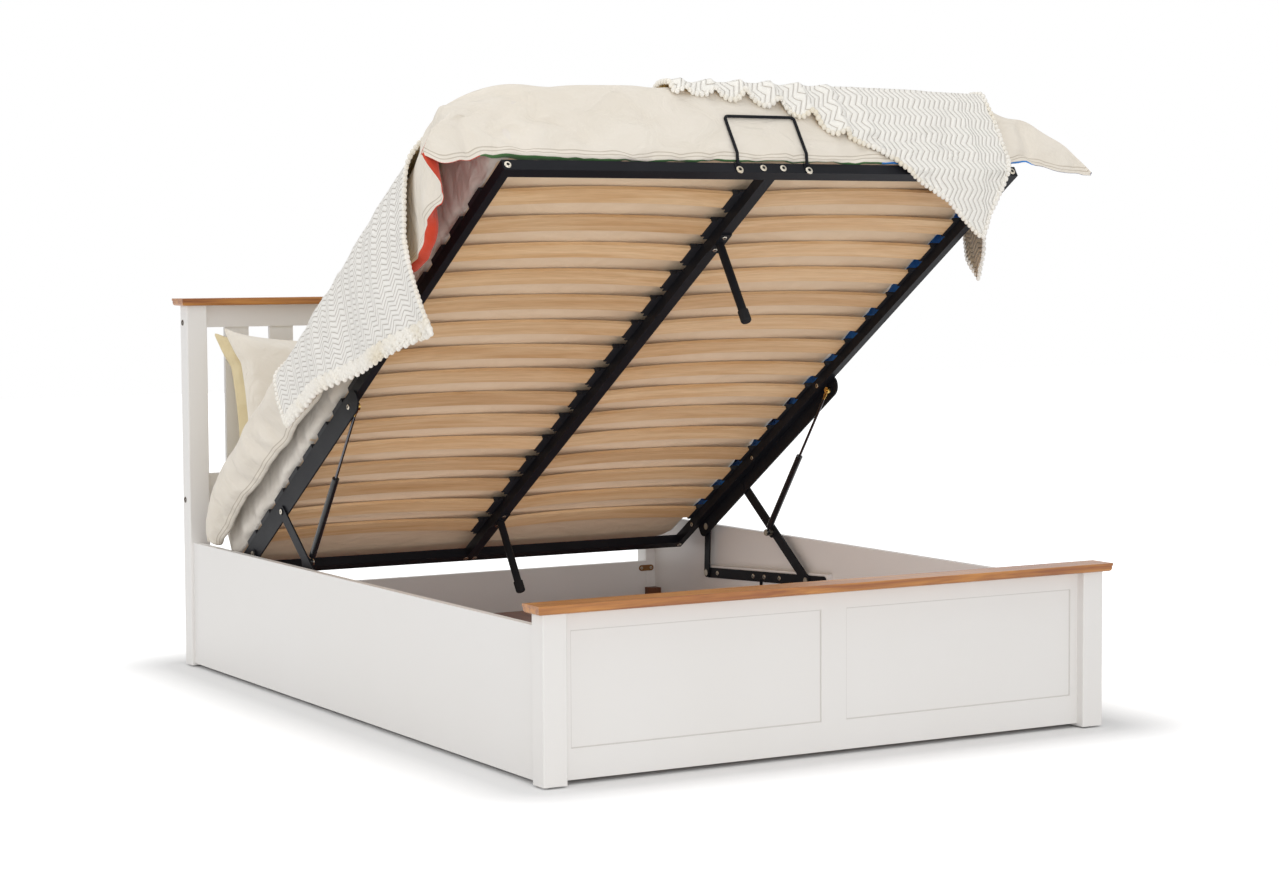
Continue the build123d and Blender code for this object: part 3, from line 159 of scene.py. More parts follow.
# How far a place lies outside the bed's own outline on the floor: the shadow is kept only close by.
SHADOW_HALF, SHADOW_FROM, SHADOW_TO, FLOOR_GLOW = (0.70, 0.98, 0.0), 0.08, 0.42, 0.75
place = add(tree, "TexCoord").outputs["Object"]
outside = chain(tree, "VectorMath", place, ("ABSOLUTE",), ("SUBTRACT", SHADOW_HALF))
away = chain(tree, "VectorMath", outside, ("MAXIMUM", (0.0, 0.0, 0.0)), ("LENGTH",))
reach = {"Value": away, "From Min": SHADOW_FROM, "From Max": SHADOW_TO, "To Max": FLOOR_GLOW}
lift_up = add(tree, "MapRange", reach)
glow_level = add(tree, "Math", {0: background_rays(tree), 1: lift_up}, operation="MULTIPLY")
glow = add(tree, "Emission", {"Color": (1, 1, 1, 1), "Strength": glow_level})
wire(tree.nodes["Material Output"], {"Surface": add(tree, "AddShader", {0: shader, 1: glow})})
floor.data.materials.append(floor_paint)

ROOM_LEVEL = 0.60
world = bpy.data.worlds.new("white_room")
bpy.context.scene.world = world
world.use_nodes = True
tree = world.node_tree
level = add(tree, "MapRange", {"Value": background_rays(tree), "To Min": ROOM_LEVEL, "To Max": 1.0})
wire(tree.nodes["Background"], {"Color": (1, 1, 1, 1), "Strength": level})
print("floor and room", floor.name, world.name)

# %% [markdown]
# The lamps are wide soft boxes, aimed by a direction from their place to what they light. The last
# one lies unseen in the storage box and looks up, as a white card would on a real set.
# %% Lamps


def in_scene(name, data):
    piece = bpy.data.objects.new(name, data)
    bpy.context.scene.collection.objects.link(piece)
    return piece


def soft_lamp(name, place, aim, size, power):
    data = bpy.data.lights.new(name, "AREA")
    data.shape = "RECTANGLE"
    data.size, data.size_y = size
    data.energy = power
    lamp = in_scene(name, data)
    lamp.location = place
    lamp.rotation_euler = (Vector(aim) - Vector(place)).to_track_quat("-Z", "Y").to_euler()
    return lamp


soft_lamp("overhead_softbox", (-0.4, -0.6, 4.6), (0, 0, 0), (4.5, 4.5), 50)
soft_lamp("front_softbox", (-1.9, -6.8, 1.0), (0, -0.4, 0.6), (5.0, 1.8), 112)
soft_lamp("left_softbox", (-5.2, 0.4, 2.4), (-0.4, 0, 0.5), (3.0, 2.4), 42)
box_fill = soft_lamp("box_fill", (0.0, -0.15, 0.12), (0.0, -0.15, 1.0), (1.2, 1.4), 3.4)
box_fill.visible_camera = box_fill.visible_glossy = False

# %% [markdown]
# Painted timber: the frame is smooth board under sprayed satin paint, a warm white. A flat white
# looks like plastic, so two faint things are added: a slow drift of tone from board to board, and
# the fine orange peel that spraying leaves. Both read Object coordinates, which are metres, so their
# sizes are real.
# %% Painted timber


def painted_timber(name, *nodes):
    material, tree, shader = new_finish(name, "#E7E5E1", 0.42)
    place = add(tree, "TexCoord").outputs["Object"]
    drift = add(tree, "TexNoise", {"Vector": place, "Scale": 2.2, "Detail": 2.0})
    tones = {0: drift, 6: linear("#E4E1DD"), 7: linear("#EAE8E6")}
    # Orange peel is about 1 mm across. It is drawn at 4 mm so that it shows at all.
    peel = add(tree, "TexNoise", {"Vector": place, "Scale": 250.0, "Detail": 2.0})
    wire(shader, {
        "Base Color": add(tree, "Mix", tones, data_type="RGBA"),
        "Normal": add(tree, "Bump", {"Height": peel, "Strength": 0.12, "Distance": 0.0006}),
        "Roughness": add(tree, "MapRange", {"Value": drift, "To Min": 0.36, "To Max": 0.50}),
    })
    coat(material, *nodes)
    return material


painted_timber(
    "satin_white_painted_timber", "head_posts", "foot_posts", "head_top_rail", "head_mid_rail",
    "head_slats", "head_lower_panel", "foot_top_rail", "foot_bottom_rail", "foot_stiles",
    "side_panel_left", "side_panel_right", "lift_batten_left", "lift_batten_right", "floor_ledgers",
)
# Where a loose panel meets its frame there is a narrow gap, and the shade in it is painted as a thin
# grey line. The same paint is made once more for the foot panels, with this painted shade wherever
# the distance to the opening's edge is small.
OPENING_MIDDLE, OPENING_HALF = (0.34075, 0.0, 0.1975), (0.30825, 0.0, 0.1225)
LINE_FROM, LINE_TO, JOINT_SHADE_SHARE = -0.0030, -0.0018, 0.45
panel_paint = painted_timber("satin_white_panel_with_painted_joint_shade", "foot_panels")
tree = panel_paint.node_tree
place = add(tree, "TexCoord").outputs["Object"]
from_middle = chain(tree, "VectorMath", place, ("ABSOLUTE",), ("SUBTRACT", OPENING_MIDDLE))
to_edge = chain(tree, "VectorMath", from_middle, ("ABSOLUTE",), ("SUBTRACT", OPENING_HALF))
sides = add(tree, "SeparateXYZ", {0: to_edge})
nearest = add(tree, "Math", {0: sides.outputs["X"], 1: sides.outputs["Z"]}, operation="MAXIMUM")
joint_shade = {"Value": nearest, "From Min": LINE_FROM, "From Max": LINE_TO, "To Max": JOINT_SHADE_SHARE}
# Painted shade: a grey line along the joints between the foot panels and their frame.
laid_over(panel_paint, "#B3ADA6", add(tree, "MapRange", joint_shade))
print("painted", panel_paint.name, "and the frame")

# %% [markdown]
# Wood grain is long noise: the same noise as a cloud, squeezed across the board and stretched
# along it. Two sizes are mixed, broad growth bands and thin pores. One function makes every wood
# here, and each gets its own two colours, the direction of its grain and the widths of its bands.
# %% Wood finishes
ALONG_X, ALONG_Y = (0.05, 1.0, 1.0), (1.0, 0.06, 1.0)
LIFT_TILT = math.radians(33.1)


def grained_wood(
    name, pale, dark, roughness, bands, *nodes, stretch=ALONG_X, tilt=0.0, gloss=0.0, contrast=1.0
):
    material, tree, shader = new_finish(name, pale, roughness)
    place = add(tree, "TexCoord").outputs["Object"]
    turned = add(tree, "Mapping", {"Vector": place, "Rotation": (tilt, 0, 0)})
    squeezed = add(tree, "Mapping", {"Vector": turned, "Scale": stretch})
    cloud = {"Vector": squeezed, "Scale": bands, "Detail": 4.0, "Roughness": 0.55, "Distortion": 0.6}
    growth = add(tree, "TexNoise", cloud)
    pores = add(tree, "TexNoise", {"Vector": squeezed, "Scale": bands * 7.0, "Detail": 2.0, "Roughness": 0.6})
    half = 0.18 / contrast
    spread = add(tree, "MapRange", {"Value": growth, "From Min": 0.5 - half, "From Max": 0.5 + half})
    fine = add(tree, "MapRange", {"Value": pores, "From Min": 0.35, "From Max": 0.6})
    tone = add(tree, "Mix", {0: spread, 6: linear(dark), 7: linear(pale)}, data_type="RGBA")
    share = add(tree, "MapRange", {"Value": fine, "From Min": 1.0, "From Max": 0.0, "To Max": 0.45})
    marks = {0: share, 6: tone, 7: (0.78, 0.74, 0.70, 1.0)}
    wire(shader, {
        "Base Color": add(tree, "Mix", marks, data_type="RGBA", blend_type="MULTIPLY"),
        "Normal": add(tree, "Bump", {"Height": fine, "Strength": 0.25, "Distance": 0.0004}),
        "Coat Weight": gloss,
        "Coat Roughness": 0.25,
    })
    coat(material, *nodes)
    return material


grained_wood(
    "honey_stained_oak", "#C4853F", "#97592A", 0.40, 70.0, "head_cap", "foot_cap", gloss=0.25, contrast=1.3
)
grained_wood("plain_sawn_beams", "#D8B88C", "#BC9468", 0.65, 50.0, "floor_beams")
grained_wood(
    "reddish_wood_look_board", "#9A5530", "#6B3218", 0.35, 38.0, "storage_boards",
    stretch=ALONG_Y, gloss=0.2, contrast=1.2,
)
beech = grained_wood(
    "bare_laminated_beech", "#EFCEA3", "#DDB381", 0.55, 42.0, "slats_left", "slats_right",
    tilt=LIFT_TILT, contrast=1.1,
)
print("woods", [m.name for m in bpy.data.materials if m.name.endswith(("oak", "beams", "board", "beech"))])

# %% [markdown]
# Each sprung slat is cut from its own veneers, so each has its own tone. A slat is told by counting
# the slats' pitches along the platform, and the right-hand row by adding a step to that count. The
# edge of each slat on the head side faces away from the light, so it gets a painted shade. That edge
# is told by its normal, which points along the platform towards the head.
# %% Slat tones and painted shade on the head-side edges
SLAT_PITCH, PITCHES_BEFORE, NEXT_ROW = 0.110, 0.4135, 40.0
along_bed = (0.0, -math.cos(LIFT_TILT), math.sin(LIFT_TILT))
tree = beech.node_tree
place = add(tree, "TexCoord")
along = add(tree, "VectorMath", {0: place.outputs["Object"], 1: along_bed}, operation="DOT_PRODUCT")
counted = chain(tree, "Math", along, ("ADD", PITCHES_BEFORE), ("DIVIDE", SLAT_PITCH), ("FLOOR",))
across = add(tree, "SeparateXYZ", {0: place.outputs["Object"]})
right_row = add(tree, "Math", {0: across.outputs["X"], 1: 0.0}, operation="GREATER_THAN")
slat_number = add(tree, "Math", {0: right_row, 1: NEXT_ROW, 2: counted}, operation="MULTIPLY_ADD")
chance = add(tree, "TexWhiteNoise", {"W": slat_number}, noise_dimensions="1D")
laid_over(beech, "#E6E0DA", chance, blend_type="MULTIPLY")
# Painted shade: the slats' edges on the head side, which face away from the light, are laid over with dark
# brown.
facing = add(tree, "VectorMath", {0: place.outputs["Normal"], 1: along_bed}, operation="DOT_PRODUCT")
laid_over(beech, "#7A5638", add(tree, "MapRange", {"Value": facing, "From Min": -0.55, "From Max": -0.85}))
print("slat tones at a pitch of", SLAT_PITCH)

# %% [markdown]
# The lift and the platform are steel tube and plate under a satin black powder coat. Powder coat
# is baked from grains, so it has a fine pebble. A black that is too dark loses its shape, so the
# colour is a very dark grey with a blue cast, and the highlights along the tube do the rest.
# Moulded plastic, rubber and plated steel differ in colour, gloss and the size of their grain, so
# one function makes them all, each with a second colour where hands and boxes have rubbed it.
# %% Metals and plastics


def pebbled(
    name, colour, rub, rub_share, roughness, grain_mm, depth, *nodes, metallic=0.0, lacquer=0.0, shine=0.22
):
    material, tree, shader = new_finish(name, colour, roughness, metallic)
    place = add(tree, "TexCoord").outputs["Object"]
    pebble = add(tree, "TexNoise", {"Vector": place, "Scale": 1000.0 / grain_mm, "Detail": 2.0})
    cloud = add(tree, "TexNoise", {"Vector": place, "Scale": 9.0, "Detail": 3.0})
    wear = add(tree, "MapRange", {"Value": cloud, "From Min": 0.5, "From Max": 0.75, "To Max": rub_share})
    dull = {"Value": cloud, "To Min": roughness - 0.06, "To Max": roughness + 0.08}
    wire(shader, {
        "Base Color": add(tree, "Mix", {0: wear, 6: linear(colour), 7: linear(rub)}, data_type="RGBA"),
        "Normal": add(tree, "Bump", {"Height": pebble, "Strength": 0.3, "Distance": depth}),
        "Roughness": add(tree, "MapRange", dull),
        "Coat Weight": lacquer,
        "Coat Roughness": 0.2,
    })
    if not metallic:
        wire(shader, {"Specular IOR Level": shine})
    coat(material, *nodes)
    return material


# Powder grains are about 0.5 mm. They are drawn at 3 mm. Seen at a flat angle, a rough pebble
# scatters the white room, so this coat gets less shine than smooth plastic has.
pebbled(
    "black_powder_coat", "#191A1E", "#26262B", 0.5, 0.44, 3.0, 0.0005, "side_rail_left",
    "side_rail_right", "head_rail", "foot_rail", "centre_rail", "upper_bar_left", "upper_bar_right",
    "rear_link_left", "rear_link_right", "front_link_left", "front_link_right", "base_plate_left",
    "base_plate_right", "centre_legs", "retainer_hoop", shine=0.10,
)
pebbled(
    "moulded_black_plastic", "#232428", "#33343A", 0.4, 0.5, 4.0, 0.0003,
    "outer_holders_left", "outer_holders_right", "centre_holders", "post_glides",
)
pebbled("black_rubber", "#1B1B1D", "#2A2A2C", 0.4, 0.75, 3.0, 0.0004, "leg_feet")
pebbled(
    "glossy_black_strut_paint", "#1A1A1D", "#242428", 0.3, 0.25, 6.0, 0.0001,
    "strut_cylinder_left", "strut_cylinder_right", lacquer=0.5,
)
zinc = pebbled(
    "zinc_plated_steel", "#C9C2B4", "#A8946C", 0.6, 0.28, 2.0, 0.0002,
    "pivot_pins", "bar_pins", "strut_stubs", metallic=1.0,
)
pebbled(
    "bronze_lacquered_plate", "#8A6238", "#6A4A2C", 0.5, 0.35, 3.0, 0.0002, "corner_plates", metallic=0.6
)
pebbled("moulded_brown_plastic", "#6E4630", "#5A3826", 0.4, 0.5, 4.0, 0.0003, "corner_blocks")
rod_steel = pebbled(
    "polished_dark_rod", "#5A5A5E", "#77777C", 0.4, 0.2, 6.0, 0.0001,
    "strut_rod_left", "strut_rod_right", metallic=1.0,
)
# The rods' upper ends are brass-plated clevises, so one colour takes over round the upper eyes.
UPPER_EYE, CLEVIS_RADIUS = (0.664, 0.0175, 0.7336), 0.030
tree = rod_steel.node_tree
place = add(tree, "TexCoord").outputs["Object"]
from_eye = chain(tree, "VectorMath", place, ("ABSOLUTE",), ("DISTANCE", UPPER_EYE))
near_eye = {"Value": from_eye, "From Min": CLEVIS_RADIUS, "From Max": 0.9 * CLEVIS_RADIUS}
laid_over(rod_steel, "#C9A862", add(tree, "MapRange", near_eye))
print("hard finishes", len(bpy.data.materials))

# %% [markdown]
# The platform's pieces are easiest to place as if it lay level, because that is how it is drawn and
# how a bed is made. A place there is its distance across, its run from the lift's upper pivot
# towards the foot end, and its height above that pivot. Two functions tilt places up and back.
# %% Level and lifted places
PIVOT_Y, PIVOT_Z = 0.6398992, 0.3278579
TILT_COS, TILT_SIN = math.cos(LIFT_TILT), math.sin(LIFT_TILT)


def lifted(points):
    x, run, up = np.asarray(points, float).reshape(-1, 3).T
    y = PIVOT_Y - run * TILT_COS + up * TILT_SIN
    return np.column_stack([x, y, PIVOT_Z + run * TILT_SIN + up * TILT_COS])


def levelled(points):
    x, y, z = np.asarray(points, float).reshape(-1, 3).T
    y, z = y - PIVOT_Y, z - PIVOT_Z
    return np.column_stack([x, -y * TILT_COS + z * TILT_SIN, y * TILT_SIN + z * TILT_COS])


def points_of(piece):
    return np.array([v.co for v in piece.data.vertices])


def set_points(piece, points):
    piece.data.vertices.foreach_set("co", points.ravel())
    piece.data.update()


print("level place (0, 0, 0) is lifted to", lifted([0, 0, 0]).round(3)[0])

# %% [markdown]
# The visible screws are domed, with a hexagon socket. One head is modelled: a cylinder whose rim is
# bevelled, whose top face is inset, drawn into a hexagon and pushed down. It is then copied to every
# fastening that shows, turned to look the right way, and each copy has its own points.
# %% One screw head
SIDES, HEAD_HIGH, DOME, LIP, SOCKET_FLAT, SOCKET_DEEP = 24, 0.42, 0.30, 0.2, 0.42, 0.28


def socket_head():
    """A head one unit in radius that sits on z = 0 and looks up."""
    middle = (0, 0, HEAD_HIGH / 2)
    cylinder = bpy.ops.mesh.primitive_cylinder_add
    head = fresh(cylinder, vertices=SIDES, radius=1.0, depth=HEAD_HIGH, location=middle)
    bpy.ops.object.mode_set(mode="EDIT")
    bpy.context.tool_settings.mesh_select_mode = (False, False, True)
    for step in ("bevel", "inset", "extrude"):
        bpy.ops.mesh.select_all(action="DESELECT")
        bpy.ops.object.mode_set(mode="OBJECT")
        round_faces = (f for f in head.data.polygons if len(f.vertices) == SIDES)
        top = max(round_faces, key=lambda f: f.center.z)
        top.select = True
        if step == "extrude":
            for i in top.vertices:
                point = head.data.vertices[i].co
                angle = math.atan2(point.y, point.x)
                flat = SOCKET_FLAT / math.cos((angle + math.pi / 6) % (math.pi / 3) - math.pi / 6)
                point.x, point.y = flat * math.cos(angle), flat * math.sin(angle)
        bpy.ops.object.mode_set(mode="EDIT")
        if step == "bevel":
            bpy.ops.mesh.bevel(offset=DOME, segments=4, affect="EDGES")
        elif step == "inset":
            bpy.ops.mesh.inset(thickness=LIP)
        else:
            bpy.ops.mesh.extrude_region_move(TRANSFORM_OT_translate={"value": (0, 0, -SOCKET_DEEP)})
    bpy.ops.object.mode_set(mode="OBJECT")
    return head


def copies(name, original, places):
    """One mesh with a copy at every place, given as (centre, direction, size)."""
    one = points_of(original)
    faces = [f.vertices[:] for f in original.data.polygons]
    points, polygons = [], []
    for n, (centre, direction, size) in enumerate(places):
        turn = np.array(Vector(direction).to_track_quat("Z", "Y").to_matrix())
        points.append(one * size @ turn.T + np.array(centre))
        polygons += [[i + n * len(one) for i in face] for face in faces]
    mesh = bpy.data.meshes.new(name)
    mesh.from_pydata(np.vstack(points).tolist(), [], polygons)
    return in_scene(name, mesh)


head = socket_head()
print("screw head", len(head.data.polygons), "faces")

# %% [markdown]
# Every spot is a centre, a direction that the head looks in and a radius. Most fastenings come in
# pairs, one on each side of the bed, so the spots are written once and mirrored.
# %% Screw, rivet and bolt heads
FOOTWARD = tuple(lifted([0, 1, 0])[0] - lifted([0, 0, 0])[0])
DOWNWARD = tuple(lifted([0, 0, 0])[0] - lifted([0, 0, 1])[0])
BOTH = (-1, 1)
level_spots = [((x, 1.690, 0.0305), FOOTWARD, 0.0085) for x in (-0.6612, -0.026, 0.026, 0.6612)]
level_spots += [((x, 1.6925, 0.0240), FOOTWARD, 0.0092) for x in (-0.091, 0.091)]
level_spots += [((x, -0.141, 0.018), DOWNWARD, 0.0070) for x in (-0.6612, -0.013, 0.013, 0.6612)]
level_spots += [((0.0, run, 0.015), DOWNWARD, 0.0060) for run in (1.433, 1.383, 0.100, 0.050)]
HOLDER_RUNS = (0.7207, 0.3418, -0.0372)
level_spots += [((s * 0.6532, run, 0.027), (-s, 0, 0), 0.0062) for run in HOLDER_RUNS for s in BOTH]
level_spots += [((s * 0.6772, 0.721, 0.0124), (s, 0, 0), 0.0070) for s in BOTH]
platform_spots = [(tuple(lifted(c)[0]), direction, radius) for c, direction, radius in level_spots]
link_spots = [(tuple(lifted([s * 0.6836, 0.229, 0.0])[0]), (s, 0, 0), 0.0070) for s in BOTH]
PLATE_HOLES = ((0.2774, 0.2166), (0.3531, 0.2126), (0.4087, 0.2096), (0.5955, 0.1996))
frame_spots = [((s * 0.6820, y, z), (-s, 0, 0), 0.0066) for y, z in PLATE_HOLES for s in BOTH]
frame_spots += [((s * x, 0.9680, 0.1800), (0, -1, 0), 0.0044) for x in (0.6535, 0.6845) for s in BOTH]
post_spots = [((s * 0.7250, 1.003, z), (s, 0, 0), 0.0080) for z in (0.4439, 0.9139) for s in BOTH]
browned = pebbled("browned_steel_socket", "#4A3F35", "#6A5A48", 0.5, 0.4, 2.0, 0.0002, metallic=0.7)

for name, spots, finish, body, node_name in (
    ("platform_screw_heads", platform_spots, zinc, "platform", "platform_fasteners"),
    ("frame_screw_heads", frame_spots, zinc, "bed_frame", "frame_fasteners"),
    ("post_bolt_heads", post_spots, browned, "bed_frame", None),
    ("link_rivet_heads", link_spots, zinc, "front_links", None),
):
    piece = copies(name, head, spots)
    piece.data.materials.append(finish)
    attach(piece, body)
    if node_name:
        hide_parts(node_name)
    print(name, len(spots), "heads", len(piece.data.polygons), "faces")
bpy.data.objects.remove(head)

# %% [markdown]
# Bed linen is washed cotton. Up close it is a plain weave, from a step away it is soft creases.
# The weave is finer than a pixel, so it is drawn coarser, and the creases are stretched noise that
# tilts the light a little. The same noise turns the colour to a darker shade in the creases' hollows,
# which is painted shade. A light sheen gives the pale rim that brushed cotton shows.
# %% Linen finish
WEAVE_MM = 3.0


def washed_cotton(name, colour, shade, creases=1.0, crease_turn=0.0):
    material, tree, shader = new_finish(name, colour, 0.85)
    place = add(tree, "TexCoord").outputs["Object"]
    stretch = {"Vector": place, "Rotation": (0.0, crease_turn, 0.5), "Scale": (1.0, 2.2, 1.0)}
    cloud = {"Scale": 9.0, "Detail": 5.0, "Roughness": 0.5, "Distortion": 1.2}
    crease = add(tree, "TexNoise", {"Vector": add(tree, "Mapping", stretch), **cloud})
    weave = add(tree, "TexNoise", {"Vector": place, "Scale": 1000.0 / WEAVE_MM, "Detail": 1.0})
    soft = add(tree, "Bump", {"Height": crease, "Strength": 0.35 * creases, "Distance": 0.012})
    woven = {"Height": weave, "Normal": soft, "Strength": 0.2, "Distance": 0.0008}
    # Painted shade: where the crease noise is low, in the hollows, the colour goes over to the darker shade.
    wire(shader, {
        "Base Color": add(tree, "Mix", {0: crease, 6: linear(shade), 7: linear(colour)}, data_type="RGBA"),
        "Normal": add(tree, "Bump", woven),
        "Sheen Weight": 0.15,
        "Sheen Roughness": 0.5,
        "Specular IOR Level": 0.25,
    })
    return material


cream_linen = washed_cotton("cream_washed_cotton", "#F3EDE3", "#E9E1D4", 2.8)
yellow_linen = washed_cotton("pale_yellow_cotton", "#EADCB8", "#DCCA9E", 1.5)
fitted_sheet = washed_cotton("grey_white_fitted_sheet", "#EEE8DF", "#DED5C9", 1.8)
sheet_underside = washed_cotton("warm_sheet_underside", "#EAD3B6", "#D9BE9E", 1.2, crease_turn=1.2)
print("linens", cream_linen.name, yellow_linen.name, fitted_sheet.name)

# %% [markdown]
# The duvet cover's other side is printed on the real one. Here it is a plain patchwork: plain
# cottons, one after another across the bed. Which patch a point lies on comes from how far across
# and how far along the bed it is. The pattern reads Object coordinates, so it moves with the duvet.
# %% Duvet reverse
reverse_linen = washed_cotton("plain_patched_reverse", "#4E7B45", "#41693A")
tree = reverse_linen.node_tree
place = add(tree, "TexCoord").outputs["Object"]
across = add(tree, "SeparateXYZ", {0: place}).outputs["X"]
along = add(tree, "VectorMath", {0: place, 1: along_bed}, operation="DOT_PRODUCT")
patches = linear("#4F7A48")
for measure, compare, limit, colour in (
    (across, "LESS_THAN", -0.715, "#CE4327"),
    (along, "LESS_THAN", 0.78, "#E3DACB"),
    (across, "GREATER_THAN", 0.30, "#3A8CE0"),
    (across, "GREATER_THAN", 0.74, "#27356F"),
):
    there = add(tree, "Math", {0: measure, 1: limit}, operation=compare)
    patches = add(tree, "Mix", {0: there, 6: patches, 7: linear(colour)}, data_type="RGBA")
wave = add(tree, "TexNoise", {"Vector": place, "Scale": 12.0, "Detail": 3.0})
shade = add(tree, "MapRange", {"Value": wave, "To Min": 0.72, "To Max": 1.18})
worn = add(tree, "VectorMath", {0: patches, 1: shade}, operation="MULTIPLY")
wire(tree.nodes["Principled BSDF"], {"Base Color": worn})
print("patches", reverse_linen.name)

# %% [markdown]
# The throws are machine knitted in a chevron rib: rows of stitches that zigzag. Each row is a
# rounded ridge, so the height is a sine across the rows, and the zigzag comes from sliding that
# sine up and down along the row. The grooves between the rows get a darker colour, which is painted
# shade. The pattern reads the piece's own UV map, which is in metres.
# %% Chevron knit
# A stitch is about 5 mm long. It is drawn at 7 mm so that it shows in a small picture.
STITCH = 0.007


def chevron_knit(name, ridge, groove_shade, row_mm=14.0, wave_mm=50.0, rise_mm=14.0):
    material, tree, shader = new_finish(name, ridge, 0.9)
    cloth = add(tree, "UVMap", uv_map="UVMap")
    part = add(tree, "SeparateXYZ", {0: cloth})
    along_row, over_rows = part.outputs["X"], part.outputs["Y"]
    wobble = add(tree, "TexNoise", {"Vector": cloth, "Scale": 14.0, "Detail": 1.0}, noise_dimensions="2D")
    half_wave = wave_mm / 2000.0
    slope = rise_mm / 1000.0 / half_wave
    slid = chain(tree, "Math", along_row, ("PINGPONG", half_wave), ("MULTIPLY_ADD", slope, over_rows))
    loose = add(tree, "Math", {0: wobble, 1: 0.012, 2: slid}, operation="MULTIPLY_ADD")
    ribs = []
    for distance, spacing in ((loose, row_mm / 1000.0), (along_row, STITCH)):
        turns = ("MULTIPLY", math.pi / spacing)
        ribs.append(chain(tree, "Math", distance, turns, ("SINE",), ("ABSOLUTE",)))
    row, stitch = ribs
    rounded = add(tree, "Math", {0: row, 1: 0.5}, operation="POWER")
    height = add(tree, "Math", {0: stitch, 1: 0.12, 2: rounded}, operation="MULTIPLY_ADD")
    # Painted shade: the colour goes over to the groove shade in the grooves between the rows.
    in_groove = add(tree, "MapRange", {"Value": row, "From Min": 0.02, "From Max": 0.26})
    wire(shader, {
        "Base Color": add(tree, "Mix", {0: in_groove, 6: linear(groove_shade), 7: linear(ridge)}, data_type="RGBA"),
        "Normal": add(tree, "Bump", {"Height": height, "Strength": 0.75, "Distance": 0.0045}),
        "Sheen Weight": 0.25,
        "Specular IOR Level": 0.2,
    })
    return material


knit = chevron_knit("off_white_chevron_knit", "#F5F2EC", "#BFB4A5", 13.0, 56.0, 15.0)
thick_knit = chevron_knit("off_white_rope_knit", "#F6F3EC", "#C9BEAF", 16.0, 48.0, 16.0)
# The far corner hangs in shade, so its reverse is a darker copy of the knit: painted shade.
painted_shade_knit = chevron_knit("painted_shade_knit_reverse", "#C9B59A", "#9C8870")
knit_back = chevron_knit("ochre_knit_reverse", "#E0BE74", "#B8924E")
print("knits", knit.name, thick_knit.name, knit_back.name)

# %% [markdown]
# A path is a short list of points across the cloth. It is evened out, rounded and cut into as many
# points as the cloth needs there. Folds are slow noise, eased in and out by a ramp, which rises
# from nought at its start to one over its span, and falls where the span is negative.
# %% Paths, ramps and noise


def travelled(path):
    """How far along a path each of its points is."""
    return np.concatenate([[0], np.cumsum(np.linalg.norm(np.diff(path, axis=0), axis=1))])


def at_travel(path, travel):
    gone = travelled(path)
    return np.column_stack([np.interp(travel, gone, column) for column in path.T])


def resampled(path, count):
    path = np.asarray(path, float)
    return at_travel(path, np.linspace(0, travelled(path)[-1], count))


def smoothed(values, passes):
    values = np.array(values, float)
    for _ in range(passes):
        values[1:-1] = (values[:-2] + 2 * values[1:-1] + values[2:]) / 4
    return values


def soft_path(path, even, passes, count):
    return resampled(smoothed(resampled(path, even), passes), count)


def ramp(value, start, span):
    return np.clip((value - start) / span, 0.0, 1.0)


def soft_noise(x, y, z=0.0):
    return noise.noise(Vector((x, y, z)))


print("a ramp at its middle", float(ramp(0.5, 0.0, 1.0)))

# %% [markdown]
# A sheet starts as a flat grid whose points are then laid in place row by row, and its UV map gets
# the cloth's own metres. Modifiers are applied at once, so nothing is live when the bed moves.
# %% Laying a sheet


def travel_across(grid):
    """How far along its own row each point of a grid is."""
    steps = np.linalg.norm(np.diff(grid, axis=1), axis=2)
    return np.concatenate([np.zeros((len(grid), 1)), np.cumsum(steps, axis=1)], axis=1)


def laid_grid(name, points, uv_swap=False):
    rows, columns = points.shape[:2]
    grid = bpy.ops.mesh.primitive_grid_add
    piece = fresh(grid, x_subdivisions=columns - 1, y_subdivisions=rows - 1, size=1.0)
    piece.name = piece.data.name = name
    along = np.concatenate([[0], np.cumsum(np.linalg.norm(np.diff(points, axis=0), axis=2).mean(1))])
    along = np.repeat(along[:, None], columns, axis=1)
    flat = np.stack([travel_across(points), along], axis=2).reshape(-1, 2)
    if uv_swap:
        flat = flat[:, ::-1]
    set_points(piece, lifted(points))
    corners = np.empty(len(piece.data.loops), int)
    piece.data.loops.foreach_get("vertex_index", corners)
    layer = piece.data.uv_layers[0]
    layer.name = "UVMap"
    piece.data.uv_layers["UVMap"].data.foreach_set("uv", flat[corners].ravel())
    return piece


def select_only(piece):
    bpy.ops.object.select_all(action="DESELECT")
    bpy.context.view_layer.objects.active = piece
    piece.select_set(True)


def edited(step, **settings):
    """Runs one step of edit mode on the whole mesh of the active piece."""
    bpy.ops.object.mode_set(mode="EDIT")
    bpy.ops.mesh.select_all(action="SELECT")
    step(**settings)
    bpy.ops.object.mode_set(mode="OBJECT")


def applied(piece, kind, **settings):
    modifier = piece.modifiers.new(kind.lower(), kind)
    for name, value in settings.items():
        setattr(modifier, name, value)
    select_only(piece)
    bpy.ops.object.modifier_apply(modifier=modifier.name)


def smooth_shaded(piece):
    piece.data.polygons.foreach_set("use_smooth", [True] * len(piece.data.polygons))
    piece.data.update()
    return piece


def faces_up(piece, level_top):
    """Turns an open sheet so that its outer side looks up and out."""
    select_only(piece)
    top = Vector(lifted(level_top)[0])
    face = min(piece.data.polygons, key=lambda f: (f.center - top).length)
    if face.normal.dot(Vector((0, TILT_SIN, TILT_COS))) < 0:
        edited(bpy.ops.mesh.flip_normals)


def dress(piece, *cloths):
    piece.data.materials.clear()
    for cloth in cloths:
        piece.data.materials.append(cloth)


print("sheets are laid with", laid_grid.__name__)

